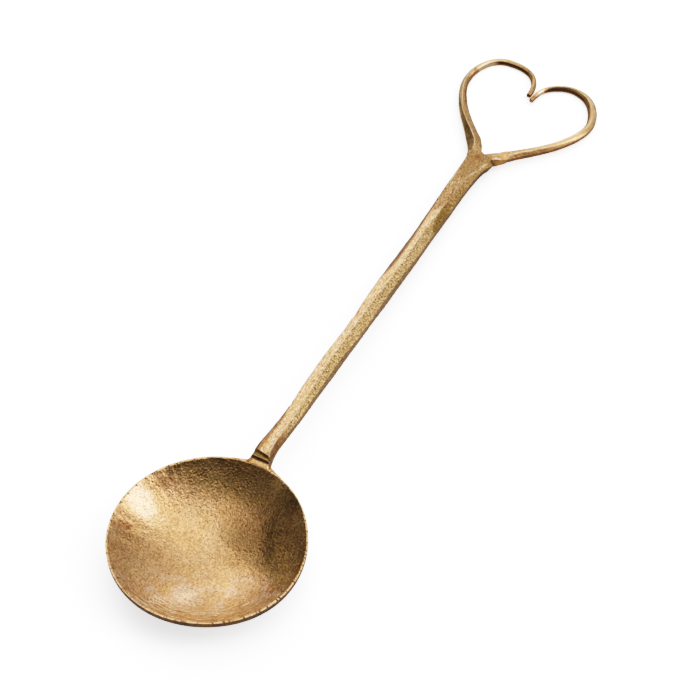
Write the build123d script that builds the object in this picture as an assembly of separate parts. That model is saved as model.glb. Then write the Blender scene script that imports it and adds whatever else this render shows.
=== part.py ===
from build123d import *
import math
import os

# Hand-forged brass spoon with a round dished bowl and a bar handle whose end is
# split into two arms curled into an open heart. Millimetres, +Z up.
# Origin: centre of the planished flat under the bowl, on the surface that the
# spoon lies on. The handle runs along +X. The spoon rests on the bowl's flat and
# on the undersides of the two heart lobes.

# ---- driving dimensions -------------------------------------------------
RIM_R = 30.0            # mean outer radius of the bowl's rim
RIM_Z = 11.5            # height of the rim's filed edge above the surface
RIM_EDGE = 0.85         # width of the filed edge of the sheet at the rim
FLAT_R = 7.0            # radius of the planished flat under the bowl
INNER_Z = 0.95          # height of the bowl's inside bottom
RIM_SKIRT = 2.2         # height of the upright outer band under the filed edge
# hand-made outline of the rim: (order, cosine part, sine part) in mm
RIM_WAVES = [(1, 0.10, 0.0), (2, 0.10, -0.06), (3, 0.26, 0.06), (4, 0.08, -0.11), (6, 0.03, 0.0)]
# bowl profile: the height share at radius share u is u to this power
IN_P, OUT_P = 2.0, 1.5

NECK_X = 32.0           # where the handle's centre line starts to be straight
NECK_ZC = 10.5          # height of the bar's centre there
LOBE_X = 229.8          # far end of the heart lobes' centre line
LOBE_ZC = 1.0           # height of the arms' centre there (they touch the surface)

# shank stations: X; Y of the left side, of the top's left edge, of the ridge, of the top's right edge and of the
# right side; heights of the ridge and of the bottom from the centre line; drops from the ridge to the left edge, from
# there down to the left side, and from the ridge to the right edge
SHANK = [
    (26.00, 3.90, 3.50, -3.50, -4.30, -4.10, 0.60, -2.15, 0.00, 0.30, 0.40),
    (29.04, 4.33, 3.93, -3.98, -4.78, -4.58, 0.80, -2.30, 0.00, 0.30, 0.40),
    (30.62, 4.01, 3.61, -3.59, -4.59, -4.49, 0.95, -2.35, 0.00, 0.35, 0.45),
    (31.21, 3.71, 3.31, -3.19, -4.19, -4.24, 1.02, -2.40, 0.00, 0.40, 0.50),
    (31.80, 3.50, 3.05, -2.75, -3.60, -3.90, 1.15, -2.40, 0.00, 0.45, 0.60),
    (32.15, 3.38, 2.90, -2.50, -3.25, -3.70, 1.55, -2.15, 0.00, 0.50, 0.70),
    (32.39, 3.32, 2.84, -2.35, -3.05, -3.55, 2.08, -2.25, 0.00, 0.55, 0.80),
    (32.74, 3.29, 2.77, -2.26, -2.96, -3.36, 1.95, -2.35, 0.00, 0.60, 0.90),
    (33.28, 3.31, 2.64, -2.11, -2.81, -3.11, 2.05, -2.45, 0.05, 0.70, 1.10),
    (33.73, 3.35, 2.49, -1.96, -2.71, -2.96, 2.40, -2.55, 0.10, 0.80, 1.40),
    (33.97, 3.38, 2.36, -1.92, -2.67, -2.87, 2.90, -2.60, 0.20, 1.00, 1.70),
    (34.76, 3.43, 2.48, -1.64, -2.62, -2.67, 2.88, -2.65, 0.25, 1.00, 1.95),
    (36.4, 3.47, 2.62, -1.30, -2.54, -2.19, 2.80, -2.73, 0.28, 0.90, 2.20),
    (39.9, 3.25, 2.60, -1.02, -2.43, -1.87, 2.70, -2.69, 0.33, 0.70, 2.10),
    (44.8, 2.89, 2.28, -1.02, -2.55, -2.06, 2.55, -2.59, 0.40, 0.60, 1.90),
    (50.7, 2.54, 2.06, -1.03, -2.82, -2.32, 2.47, -2.51, 0.42, 0.50, 1.60),
    (56.6, 2.49, 2.20, -0.98, -2.92, -2.45, 2.40, -2.45, 0.44, 0.35, 1.40),
    (63.0, 2.69, 2.44, -0.60, -2.84, -2.48, 2.40, -2.44, 0.46, 0.30, 1.20),
    (69.4, 2.76, 2.48, -0.25, -2.76, -2.64, 2.39, -2.43, 0.48, 0.30, 1.10),
    (75.3, 2.81, 2.53, -0.02, -2.78, -2.83, 2.39, -2.43, 0.50, 0.30, 1.10),
    (81.8, 2.62, 2.34, 0.04, -2.93, -2.86, 2.38, -2.42, 0.50, 0.30, 1.10),
    (88.1, 2.42, 2.13, 0.01, -3.31, -3.00, 2.38, -2.41, 0.50, 0.30, 1.10),
    (94.7, 2.35, 2.07, -0.07, -3.54, -3.07, 2.37, -2.41, 0.50, 0.30, 1.05),
    (101.3, 2.42, 2.14, -0.14, -3.56, -3.20, 2.37, -2.40, 0.50, 0.30, 1.05),
    (107.7, 2.58, 2.30, -0.32, -3.41, -3.38, 2.37, -2.39, 0.46, 0.30, 1.10),
    (114.6, 2.69, 2.30, -0.57, -3.47, -3.51, 2.36, -2.38, 0.42, 0.45, 1.10),
    (121.5, 2.73, 1.46, -0.82, -3.62, -3.61, 2.36, -2.37, 0.39, 1.00, 1.10),
    (128.3, 2.68, 1.08, -0.90, -4.02, -3.72, 2.35, -2.35, 0.35, 1.15, 1.00),
    (135.2, 2.38, 1.12, -0.79, -4.18, -3.68, 2.33, -2.32, 0.31, 1.00, 0.95),
    (142.0, 2.25, 1.25, -0.80, -4.11, -3.68, 2.29, -2.28, 0.28, 0.80, 1.20),
    (148.9, 2.28, 1.46, -0.93, -4.11, -3.87, 2.27, -2.23, 0.24, 0.60, 1.30),
    (155.7, 2.32, 1.75, -1.39, -4.17, -3.88, 2.24, -2.19, 0.20, 0.45, 1.25),
    (163.0, 2.43, 1.92, -2.00, -4.34, -3.94, 2.20, -2.15, 0.17, 0.40, 1.05),
    (170.4, 2.48, 2.11, -3.07, -4.75, -4.30, 2.14, -2.11, 0.15, 0.40, 0.80),
    (176.2, 2.52, 2.21, -4.30, -5.69, -4.85, 2.08, -2.07, 0.12, 0.40, 0.50),
    (179.4, 2.69, 2.36, -5.82, -7.20, -5.80, 2.05, -2.05, 0.12, 0.40, 0.40),
    (183.1, 3.05, 2.73, -5.95, -7.33, -5.93, 2.03, -2.03, 0.12, 0.40, 0.40),
    (187.0, 3.07, 2.72, -5.98, -7.36, -5.96, 2.00, -2.00, 0.12, 0.40, 0.40),
]
BOTTOM_CHAMFER = 0.6
# the fork's two root faces in plan: each from the crotch to an outer corner
CROTCH = (184.15, -0.85)
LEFT_CORNER = (182.47, 3.03)
RIGHT_CORNER = (179.44, -7.43)

# heart arms: X, Y, width, height, twist in degrees, the ridge's place across the top (1 is the left edge, seen along
# the arm) and the drops from the ridge to the left and the right edge
LEFT_ARM = [
    (184.10, 1.65, 4.70, 3.90, 0, 0.30, 1.30, 0.70), (186.03, 2.62, 4.90, 3.70, 0, 0.12, 1.60, 0.90),
    (188.60, 4.21, 4.90, 3.50, 0, -0.02, 1.60, 1.00), (191.53, 6.58, 4.20, 3.25, 2, 0.05, 1.40, 0.90),
    (195.92, 10.15, 3.55, 2.95, 3, 0.30, 1.00, 0.80), (200.50, 13.64, 3.20, 2.75, 1, 0.45, 0.65, 0.80),
    (205.66, 16.72, 2.95, 2.60, 0, 0.10, 0.45, 0.80), (211.31, 19.01, 2.60, 2.45, 0, -0.05, 0.45, 0.75),
    (214.33, 19.57, 2.45, 2.35, 0, -0.1, 0.45, 0.65), (217.15, 19.60, 2.35, 2.25, 0, 0.0, 0.40, 0.50),
    (219.87, 19.22, 2.25, 2.20, 0, 0.1, 0.20, 0.30), (222.31, 18.51, 2.15, 2.15, 0, 0.2, 0.20, 0.25),
    (224.64, 17.44, 2.10, 2.10, 0, 0.2, 0.20, 0.25), (226.58, 16.13, 2.05, 2.10, 0, 0.2, 0.20, 0.20),
    (228.04, 14.53, 2.05, 2.10, 0, 0.2, 0.20, 0.20), (229.11, 12.74, 2.10, 2.10, 0, 0.2, 0.20, 0.20),
    (229.65, 10.75, 2.10, 2.10, 0, 0.2, 0.20, 0.20), (229.74, 8.66, 2.10, 2.10, 0, 0.2, 0.20, 0.20),
    (229.70, 6.48, 2.10, 2.10, 0, 0.2, 0.20, 0.20), (229.26, 4.25, 2.05, 2.05, 0, 0.2, 0.20, 0.20),
    (228.33, 1.92, 2.00, 2.00, 0, 0.1, 0.20, 0.20), (226.58, -0.20, 1.95, 1.95, 0, 0.0, 0.20, 0.20),
    (223.96, -1.81, 1.90, 1.90, 0, 0.0, 0.20, 0.20), (220.94, -2.62, 1.75, 1.85, 0, 0.0, 0.20, 0.20),
    (217.75, -2.62, 1.55, 1.75, 0, 0.0, 0.20, 0.20),
]
RIGHT_ARM = [
    (184.12, -5.95, 5.00, 3.30, -20, 0.0, 0.40, 0.50), (185.10, -7.26, 4.10, 3.10, -8, 0.0, 0.40, 0.60),
    (186.66, -8.71, 3.40, 3.10, 16, 0.2, 0.35, 0.40), (189.39, -11.57, 2.95, 2.80, 22, 0.2, 0.30, 0.30),
    (193.73, -16.07, 2.80, 2.65, 20, 0.2, 0.30, 0.30), (198.45, -20.39, 2.70, 2.55, 16, 0.2, 0.30, 0.30),
    (202.06, -23.05, 2.65, 2.50, 12, 0.1, 0.30, 0.30), (205.95, -25.31, 2.60, 2.45, 8, 0.0, 0.30, 0.30),
    (208.39, -26.32, 2.65, 2.40, 4, 0.0, 0.30, 0.30), (210.82, -27.04, 2.75, 2.35, 0, 0.0, 0.30, 0.30),
    (213.45, -27.31, 2.95, 2.30, 0, 0.0, 0.30, 0.30), (216.27, -26.98, 3.15, 2.30, 0, 0.1, 0.30, 0.30),
    (219.10, -26.16, 3.20, 2.30, 0, 0.2, 0.25, 0.30), (221.82, -24.79, 3.10, 2.25, 0, 0.3, 0.20, 0.30),
    (224.15, -23.07, 2.90, 2.20, 0, 0.3, 0.20, 0.25), (225.90, -20.95, 2.65, 2.15, 0, 0.3, 0.20, 0.25),
    (226.88, -18.72, 2.40, 2.15, 0, 0.2, 0.20, 0.20), (227.46, -16.44, 2.15, 2.10, 0, 0.2, 0.20, 0.20),
    (227.51, -14.31, 2.00, 2.05, 0, 0.2, 0.20, 0.20), (227.07, -12.27, 1.90, 2.00, 0, 0.2, 0.20, 0.20),
    (226.20, -10.37, 1.80, 1.95, 0, 0.1, 0.20, 0.20), (225.03, -8.58, 1.75, 1.90, 0, 0.0, 0.20, 0.20),
    (223.57, -6.98, 1.65, 1.80, 0, 0.0, 0.20, 0.20), (221.82, -5.78, 1.60, 1.75, 0, 0.0, 0.20, 0.20),
    (219.30, -4.92, 1.50, 1.70, 0, 0.0, 0.15, 0.15), (215.85, -4.42, 1.40, 1.60, 0, 0.0, 0.15, 0.15),
]

# braze along the rim: angle from +X in degrees, reach outwards, depth below the rim
BRAZE = [(-16.5, 0.30, 0.9), (-12.0, 0.75, 2.5), (-8.5, 1.60, 3.9), (-4.0, 2.4, 4.3), (0.0, 2.6, 4.3),
         (4.0, 2.3, 4.3), (8.0, 1.40, 3.9), (12.0, 0.70, 2.5), (16.5, 0.30, 0.9)]


def rim_radius(t):
    """Outer rim radius at angle t (radians) from +X."""
    return RIM_R + sum(c * math.cos(k * t) + s * math.sin(k * t) for k, c, s in RIM_WAVES)


def line_z(x):
    """Height of the handle's centre line at X."""
    return NECK_ZC + (LOBE_ZC - NECK_ZC) * (x - NECK_X) / (LOBE_X - NECK_X)


def ring(u, z, inset=0.0, n=28):
    """A closed face at height z whose outline is the rim's outline, inset and scaled by u.
    The outline's waves fade towards the bowl's bottom."""
    pts = []
    for i in range(n):
        t = 2 * math.pi * i / n
        wave = rim_radius(t) - RIM_R
        r = u * (RIM_R - inset + wave * min(1.0, u))
        pts.append((r * math.cos(t), r * math.sin(t), z))
    return Face(Wire([Spline(*pts, periodic=True)]))


# ---- bowl: outer form less inner form -----------------------------------
u_flat = FLAT_R / RIM_R
wall_z = RIM_Z - RIM_SKIRT
dip = wall_z * u_flat ** OUT_P / (1 - u_flat ** OUT_P)


def outer_z(u):
    return max(0.0, -dip + (wall_z + dip) * u ** OUT_P)


levels_out = [u_flat, 0.33, 0.45, 0.58, 0.70, 0.80, 0.88, 0.94, 1.0]
outer = loft([ring(u, outer_z(u)) for u in levels_out])
outer += extrude(ring(1.0, wall_z), amount=RIM_SKIRT, dir=(0, 0, 1))
levels_in = [0.05, 0.18, 0.32, 0.45, 0.58, 0.70, 0.80, 0.88, 0.94, 1.0, 1.03]
inner = loft([ring(u, INNER_Z + (RIM_Z - INNER_Z) * u ** IN_P, RIM_EDGE) for u in levels_in])
bowl = outer - inner

# ---- shank ---------------------------------------------------------------


def section_x(st):
    """The bar's eight-sided forged section in the plane X = const, as a face."""
    x, y2, y1, y0, y7, y6, zt, zb, dl, bd, er = st
    top, low, cb = line_z(x) + zt, line_z(x) + zb, BOTTOM_CHAMFER
    pts = [(y0, top), (y1, top - dl), (y2, top - dl - bd), (y2 - 0.15, low + cb), (y2 - 0.15 - cb, low),
           (y6 + cb, low), (y6, low + cb), (y7, top - er)]
    pts = [q for i, q in enumerate(pts) if math.dist(q, pts[i - 1]) > 1e-6]
    return Face(Wire.make_polygon([Vector(x, *q) for q in pts], close=True))


def beyond(a, b, reach=45.0):
    """A tall block beyond the plan line from a to b, on the line's left-hand side."""
    length = math.hypot(b[0] - a[0], b[1] - a[1])
    dx, dy = (b[0] - a[0]) / length, (b[1] - a[1]) / length
    nx, ny = -dy, dx
    p = (a[0] - dx * reach, a[1] - dy * reach)
    q = (b[0] + dx * reach, b[1] + dy * reach)
    plan = [p, q, (q[0] + nx * reach, q[1] + ny * reach), (p[0] + nx * reach, p[1] + ny * reach)]
    face = Face(Wire.make_polygon([Vector(x, y, -30) for x, y in plan], close=True))
    return extrude(face, amount=90, dir=(0, 0, 1))


shank = loft([section_x(s) for s in SHANK], ruled=True)
shank -= beyond(LEFT_CORNER, CROTCH)
shank -= beyond(CROTCH, RIGHT_CORNER)
shank -= outer

# ---- heart arms ----------------------------------------------------------


def arm(points, corner_a, corner_b, root_h):
    """Loft of eight-sided sections along the points. The first section lies in the
    fork's root face, between the two plan corners."""
    faces = []
    mx, my = (corner_a[0] + corner_b[0]) / 2, (corner_a[1] + corner_b[1]) / 2
    wx, wy = corner_b[0] - corner_a[0], corner_b[1] - corner_a[1]
    width = math.hypot(wx, wy)
    along = Vector(0, 0, 1).cross(Vector(wx / width, wy / width, 0))
    if along.X < 0:
        along = along * -1
    nodes = [Vector(x, y, line_z(x)) for x, y, *_ in points]
    stations = [(Vector(mx, my, line_z(mx)), along, width, root_h, 0, *points[0][5:])]
    for i, (p, row) in enumerate(zip(nodes, points)):
        before = nodes[i - 1] if i else stations[0][0]
        after = nodes[i + 1] if i + 1 < len(nodes) else p + (p - before)
        stations.append((p, (after - before).normalized(), row[2] + 0.1, row[3], *row[4:]))
    for p, t, w, h, twist, ridge, left, right in stations:
        side = Vector(0, 0, 1).cross(t).normalized()
        up = t.cross(side)
        c, s = math.cos(math.radians(twist)), math.sin(math.radians(twist))
        side, up = side * c + up * s, up * c - side * s
        k = 0.2 * min(w, h)
        a, b = w / 2, h / 2
        corners = [(ridge * a, b), (a - 0.1, b - left), (a, b - left - 0.25), (a - 0.05, -b + k), (a - k, -b), (-a + k, -b),
                   (-a + 0.05, -b + k), (-a, b - right)]
        faces.append(Face(Wire.make_polygon([p + side * q + up * r for q, r in corners], close=True)))
    return loft(faces, ruled=True)


heart_left = arm(LEFT_ARM, CROTCH, LEFT_CORNER, 3.9)
heart_right = arm(RIGHT_ARM, RIGHT_CORNER, CROTCH, 3.9)

# ---- braze at the neck ---------------------------------------------------


def braze_section(deg, reach, depth):
    """A fillet against the bowl's outer wall under the rim, at an angle from +X."""
    t = math.radians(deg)
    r = rim_radius(t)
    low = r * min(1.0, (RIM_Z - depth + dip) / (wall_z + dip)) ** (1 / OUT_P)
    pts = [(r - 2.2, RIM_Z - 0.25), (r + 0.35 * reach, RIM_Z - 0.25), (r + 0.8 * reach, RIM_Z - 0.3 * depth),
           (r + 0.25 * reach, RIM_Z - 0.75 * depth), (low + 0.4, RIM_Z - depth), (low - 1.6, RIM_Z - depth)]
    return Face(Wire.make_polygon([Vector(q * math.cos(t), q * math.sin(t), z) for q, z in pts], close=True))


braze = loft([braze_section(*b) for b in BRAZE], ruled=True) - outer - shank

os.makedirs("parts", exist_ok=True)
NODES = {
    "bowl": bowl,
    "handle_shank": shank,
    "heart_arm_left": heart_left,
    "heart_arm_right": heart_right,
    "neck_braze": braze,
}
for name, shape in NODES.items():
    solids = shape.solids()
    print(name, "solids", len(solids), "volume", [round(s.volume, 2) for s in solids])
    export_step(shape, f"parts/{name}.step")
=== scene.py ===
import bpy
import bmesh
import math
import numpy as np
from mathutils import Matrix, Vector

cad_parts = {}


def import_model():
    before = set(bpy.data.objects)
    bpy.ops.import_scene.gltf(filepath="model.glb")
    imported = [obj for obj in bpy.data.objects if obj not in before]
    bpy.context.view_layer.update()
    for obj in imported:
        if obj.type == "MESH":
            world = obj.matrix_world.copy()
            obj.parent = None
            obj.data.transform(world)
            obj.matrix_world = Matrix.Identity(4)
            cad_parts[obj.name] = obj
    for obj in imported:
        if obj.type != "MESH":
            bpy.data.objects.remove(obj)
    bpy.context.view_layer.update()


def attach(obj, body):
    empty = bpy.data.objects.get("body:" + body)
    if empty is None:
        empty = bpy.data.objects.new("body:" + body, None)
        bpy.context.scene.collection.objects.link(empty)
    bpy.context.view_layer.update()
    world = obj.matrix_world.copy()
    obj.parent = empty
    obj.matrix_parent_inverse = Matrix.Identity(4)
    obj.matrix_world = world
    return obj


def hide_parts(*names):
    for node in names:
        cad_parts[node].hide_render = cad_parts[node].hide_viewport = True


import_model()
MM = 0.001

# ------------------------------------------------------------------ camera
# Row frame: +X along the handle, +Z up. The view comes from in front of the bowl.
TURN = math.radians(62.294)      # handle's direction from the camera's right, on the ground
ELEV = math.radians(51.3)
RIGHT = Vector((math.cos(TURN), -math.sin(TURN), 0))
AWAY = Vector((math.sin(TURN), math.cos(TURN), 0))
UP = Vector((0, 0, 1))


def world(right, away, up):
    """A point or direction given as camera-right, away from the camera and up."""
    return RIGHT * right + AWAY * away + UP * up


cam_data = bpy.data.cameras.new("photo_camera")
cam = bpy.data.objects.new("photo_camera", cam_data)
bpy.context.scene.collection.objects.link(cam)
cam_up = AWAY * math.sin(ELEV) + UP * math.cos(ELEV)
cam_back = -AWAY * math.cos(ELEV) + UP * math.sin(ELEV)
place = world(41.934, -417.097, 620.882) * MM
m = Matrix((RIGHT, cam_up, cam_back)).transposed().to_4x4()
m.translation = place
cam.matrix_world = m
cam_data.sensor_width = 36.0
cam_data.lens = 2500.0 * 36.0 / 700.0
cam_data.clip_start, cam_data.clip_end = 0.05, 20.0
bpy.context.scene.camera = cam

# ------------------------------------------------------------------- noise


def _hash(ix, iy, iz, seed):
    h = (ix.astype(np.int64) * 374761393 + iy.astype(np.int64) * 668265263
         + iz.astype(np.int64) * 1440662683 + seed * 2654435761) & 0xFFFFFFFF
    h = ((h ^ (h >> 15)) * 2246822519) & 0xFFFFFFFF
    h = ((h ^ (h >> 13)) * 3266489917) & 0xFFFFFFFF
    return h ^ (h >> 16)


def noise(p, seed=0):
    """Gradient noise in about -1..1 at points p (n, 3), one unit a cell."""
    c = np.floor(p).astype(np.int64)
    f = p - c
    w = f * f * f * (f * (f * 6 - 15) + 10)
    out = np.zeros(len(p))
    for dx in (0, 1):
        for dy in (0, 1):
            for dz in (0, 1):
                h = _hash(c[:, 0] + dx, c[:, 1] + dy, c[:, 2] + dz, seed)
                a = (h & 1023) * (2 * math.pi / 1024)
                z = ((h >> 10) & 1023) / 511.5 - 1
                s = np.sqrt(np.maximum(0, 1 - z * z))
                g = (np.cos(a) * s * (f[:, 0] - dx) + np.sin(a) * s * (f[:, 1] - dy) + z * (f[:, 2] - dz))
                k = ((w[:, 0] if dx else 1 - w[:, 0]) * (w[:, 1] if dy else 1 - w[:, 1])
                     * (w[:, 2] if dz else 1 - w[:, 2]))
                out += k * g
    return out * 1.6


def fbm(p, octaves=3, seed=0, gain=0.5):
    out, amp = np.zeros(len(p)), 1.0
    for i in range(octaves):
        out += amp * noise(p * (2.03 ** i) + 17.3 * i, seed + 31 * i)
        amp *= gain
    return out


def cells(p, seed=0):
    """Distance to the nearest scattered point (one a cell), and that point's own random number."""
    c = np.floor(p).astype(np.int64)
    best = np.full(len(p), 9.0)
    who = np.zeros(len(p))
    for dx in (-1, 0, 1):
        for dy in (-1, 0, 1):
            for dz in (-1, 0, 1):
                k = c + np.array([dx, dy, dz])
                h = _hash(k[:, 0], k[:, 1], k[:, 2], seed)
                q = np.stack([(h & 1023), (h >> 10) & 1023, (h >> 20) & 1023], 1) / 1023.0 + k
                d = np.linalg.norm(p - q, axis=1)
                near = d < best
                best = np.where(near, d, best)
                who = np.where(near, _hash(k[:, 0], k[:, 1], k[:, 2], seed + 7) / 4294967295.0, who)
    return best, who


def smooth(x, a, b):
    t = np.clip((x - a) / (b - a), 0, 1)
    return t * t * (3 - 2 * t)


def pchip(x, xs, ys):
    """Smooth monotone curve through (xs, ys), sampled at x. ys may have columns."""
    xs, ys = np.asarray(xs, float), np.asarray(ys, float)
    flat = ys.ndim == 1
    if flat:
        ys = ys[:, None]
    h = np.diff(xs)[:, None]
    d = np.diff(ys, axis=0) / h
    m = np.zeros_like(ys)
    m[0], m[-1] = d[0], d[-1]
    a, b = d[:-1], d[1:]
    w1, w2 = 2 * h[1:] + h[:-1], h[1:] + 2 * h[:-1]
    same = a * b > 0
    safe_a, safe_b = np.where(same, a, 1), np.where(same, b, 1)
    m[1:-1] = np.where(same, (w1 + w2) / (w1 / safe_a + w2 / safe_b), 0)
    i = np.clip(np.searchsorted(xs, x, side="right") - 1, 0, len(xs) - 2)
    t = ((x - xs[i]) / h[i, 0])[:, None]
    hh = h[i]
    out = ((1 + 2 * t) * (1 - t) ** 2 * ys[i] + t * (1 - t) ** 2 * hh * m[i]
           + t * t * (3 - 2 * t) * ys[i + 1] + t * t * (t - 1) * hh * m[i + 1])
    return out[:, 0] if flat else out


def catmull(points, step):
    """Centripetal-like smooth curve through points, sampled every step of length."""
    P = np.asarray(points, float)
    ends = np.vstack([2 * P[0] - P[1], P, 2 * P[-1] - P[-2]])
    fine, knot = [], []
    for i in range(1, len(ends) - 2):
        p0, p1, p2, p3 = ends[i - 1:i + 3]
        d01, d12, d23 = (max(1e-6, np.linalg.norm(b - a)) ** 0.5 for a, b in ((p0, p1), (p1, p2), (p2, p3)))
        m1 = (p1 - p0) / d01 - (p2 - p0) / (d01 + d12) + (p2 - p1) / d12
        m2 = (p2 - p1) / d12 - (p3 - p1) / (d12 + d23) + (p3 - p2) / d23
        m1, m2 = m1 * d12, m2 * d12
        t = np.linspace(0, 1, 40, endpoint=False)[:, None]
        fine.append((2 * t ** 3 - 3 * t ** 2 + 1) * p1 + (t ** 3 - 2 * t ** 2 + t) * m1
                    + (-2 * t ** 3 + 3 * t ** 2) * p2 + (t ** 3 - t ** 2) * m2)
        knot += list(i - 1 + t[:, 0])
    fine = np.vstack(fine + [P[-1:]])
    knot = np.array(knot + [len(P) - 1.0])
    s = np.r_[0, np.cumsum(np.linalg.norm(np.diff(fine, axis=0), axis=1))]
    n = max(2, int(round(s[-1] / step)) + 1)
    q = np.linspace(0, s[-1], n)
    pts = np.stack([np.interp(q, s, fine[:, k]) for k in range(3)], 1)
    return pts, np.interp(q, s, knot), q


def new_mesh(name, verts_mm, faces, smooth_shade=True):
    me = bpy.data.meshes.new(name)
    me.from_pydata((np.asarray(verts_mm) * MM).tolist(), [], faces)
    me.update()
    ob = bpy.data.objects.new(name, me)
    bpy.context.scene.collection.objects.link(ob)
    if smooth_shade:
        me.polygons.foreach_set("use_smooth", [True] * len(me.polygons))
    return ob


def coords(me):
    co = np.zeros(len(me.vertices) * 3)
    me.vertices.foreach_get("co", co)
    return co.reshape(-1, 3) / MM


def normals(me):
    no = np.zeros(len(me.vertices) * 3)
    me.vertices.foreach_get("normal", no)
    return no.reshape(-1, 3)


def put(me, co_mm):
    me.vertices.foreach_set("co", (co_mm * MM).ravel())
    me.update()


def attribute(me, name, values):
    a = me.attributes.get(name) or me.attributes.new(name, "FLOAT", "POINT")
    a.data.foreach_set("value", np.asarray(values, np.float32))


# -------------------------------------------------------------------- bowl
RIM_R, RIM_Z, RIM_EDGE, RIM_SKIRT, FLAT_R, INNER_Z = 30.0, 11.5, 0.85, 2.2, 7.0, 0.95
RIM_WAVES = [(1, 0.10, 0.0), (2, 0.10, -0.06), (3, 0.26, 0.06), (4, 0.08, -0.11), (6, 0.03, 0.0)]
IN_P, OUT_P = 2.0, 1.5


def rim_wave(t):
    return sum(c * np.cos(k * t) + s * np.sin(k * t) for k, c, s in RIM_WAVES)


U_FLAT = FLAT_R / RIM_R
WALL_Z = RIM_Z - RIM_SKIRT
DIP = WALL_Z * U_FLAT ** OUT_P / (1 - U_FLAT ** OUT_P)


def outer_z(u):
    return np.maximum(0.0, -DIP + (WALL_Z + DIP) * u ** OUT_P)


def inner_z(u):
    return INNER_Z + (RIM_Z - INNER_Z) * u ** IN_P


def wall_height(x, y):
    """Height of the bowl's underside over a ground point (far outside the bowl it is out of reach)."""
    t = np.arctan2(y, x)
    u = np.hypot(x, y) / (RIM_R + rim_wave(t))
    return np.where(u < 1.0, outer_z(np.minimum(u, 1.0)), 99.0)


# the fine notches filed across the rim, as angles from +X
NICKS = [37.7, 45.5, 53.8, 61.7, 69.5, 76.8, 84.1, 91.3, 100.0, 105.1, 112.3, 119.8, 127.6, 138.4,
         146.3, 153.9, 161.3, 169.6, 177.5, -174.2, -165.0, -156.3, -147.1, -138.0, -129.8, -122.4, -115.3,
         -108.3, -100.7, -93.0, -84.9, -80.7, -73.4, -65.0, -57.3, -49.2, -41.0, 29.5]


def lip_width(t):
    """Width of the filed edge round the rim: thin to the right of the neck, uneven elsewhere."""
    d = np.degrees(t)
    d = (d + 180) % 360 - 180
    p = np.stack([np.cos(t) * 4.0, np.sin(t) * 4.0, np.zeros_like(t)], 1)
    w = 0.37 + 0.10 * noise(p, 91) + 0.12 * noise(p * 3.1, 92)
    w = w - 0.16 * smooth(d, -46, -36) * (1 - smooth(d, -14, -10))
    return np.clip(w, 0.16, RIM_EDGE)


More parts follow.
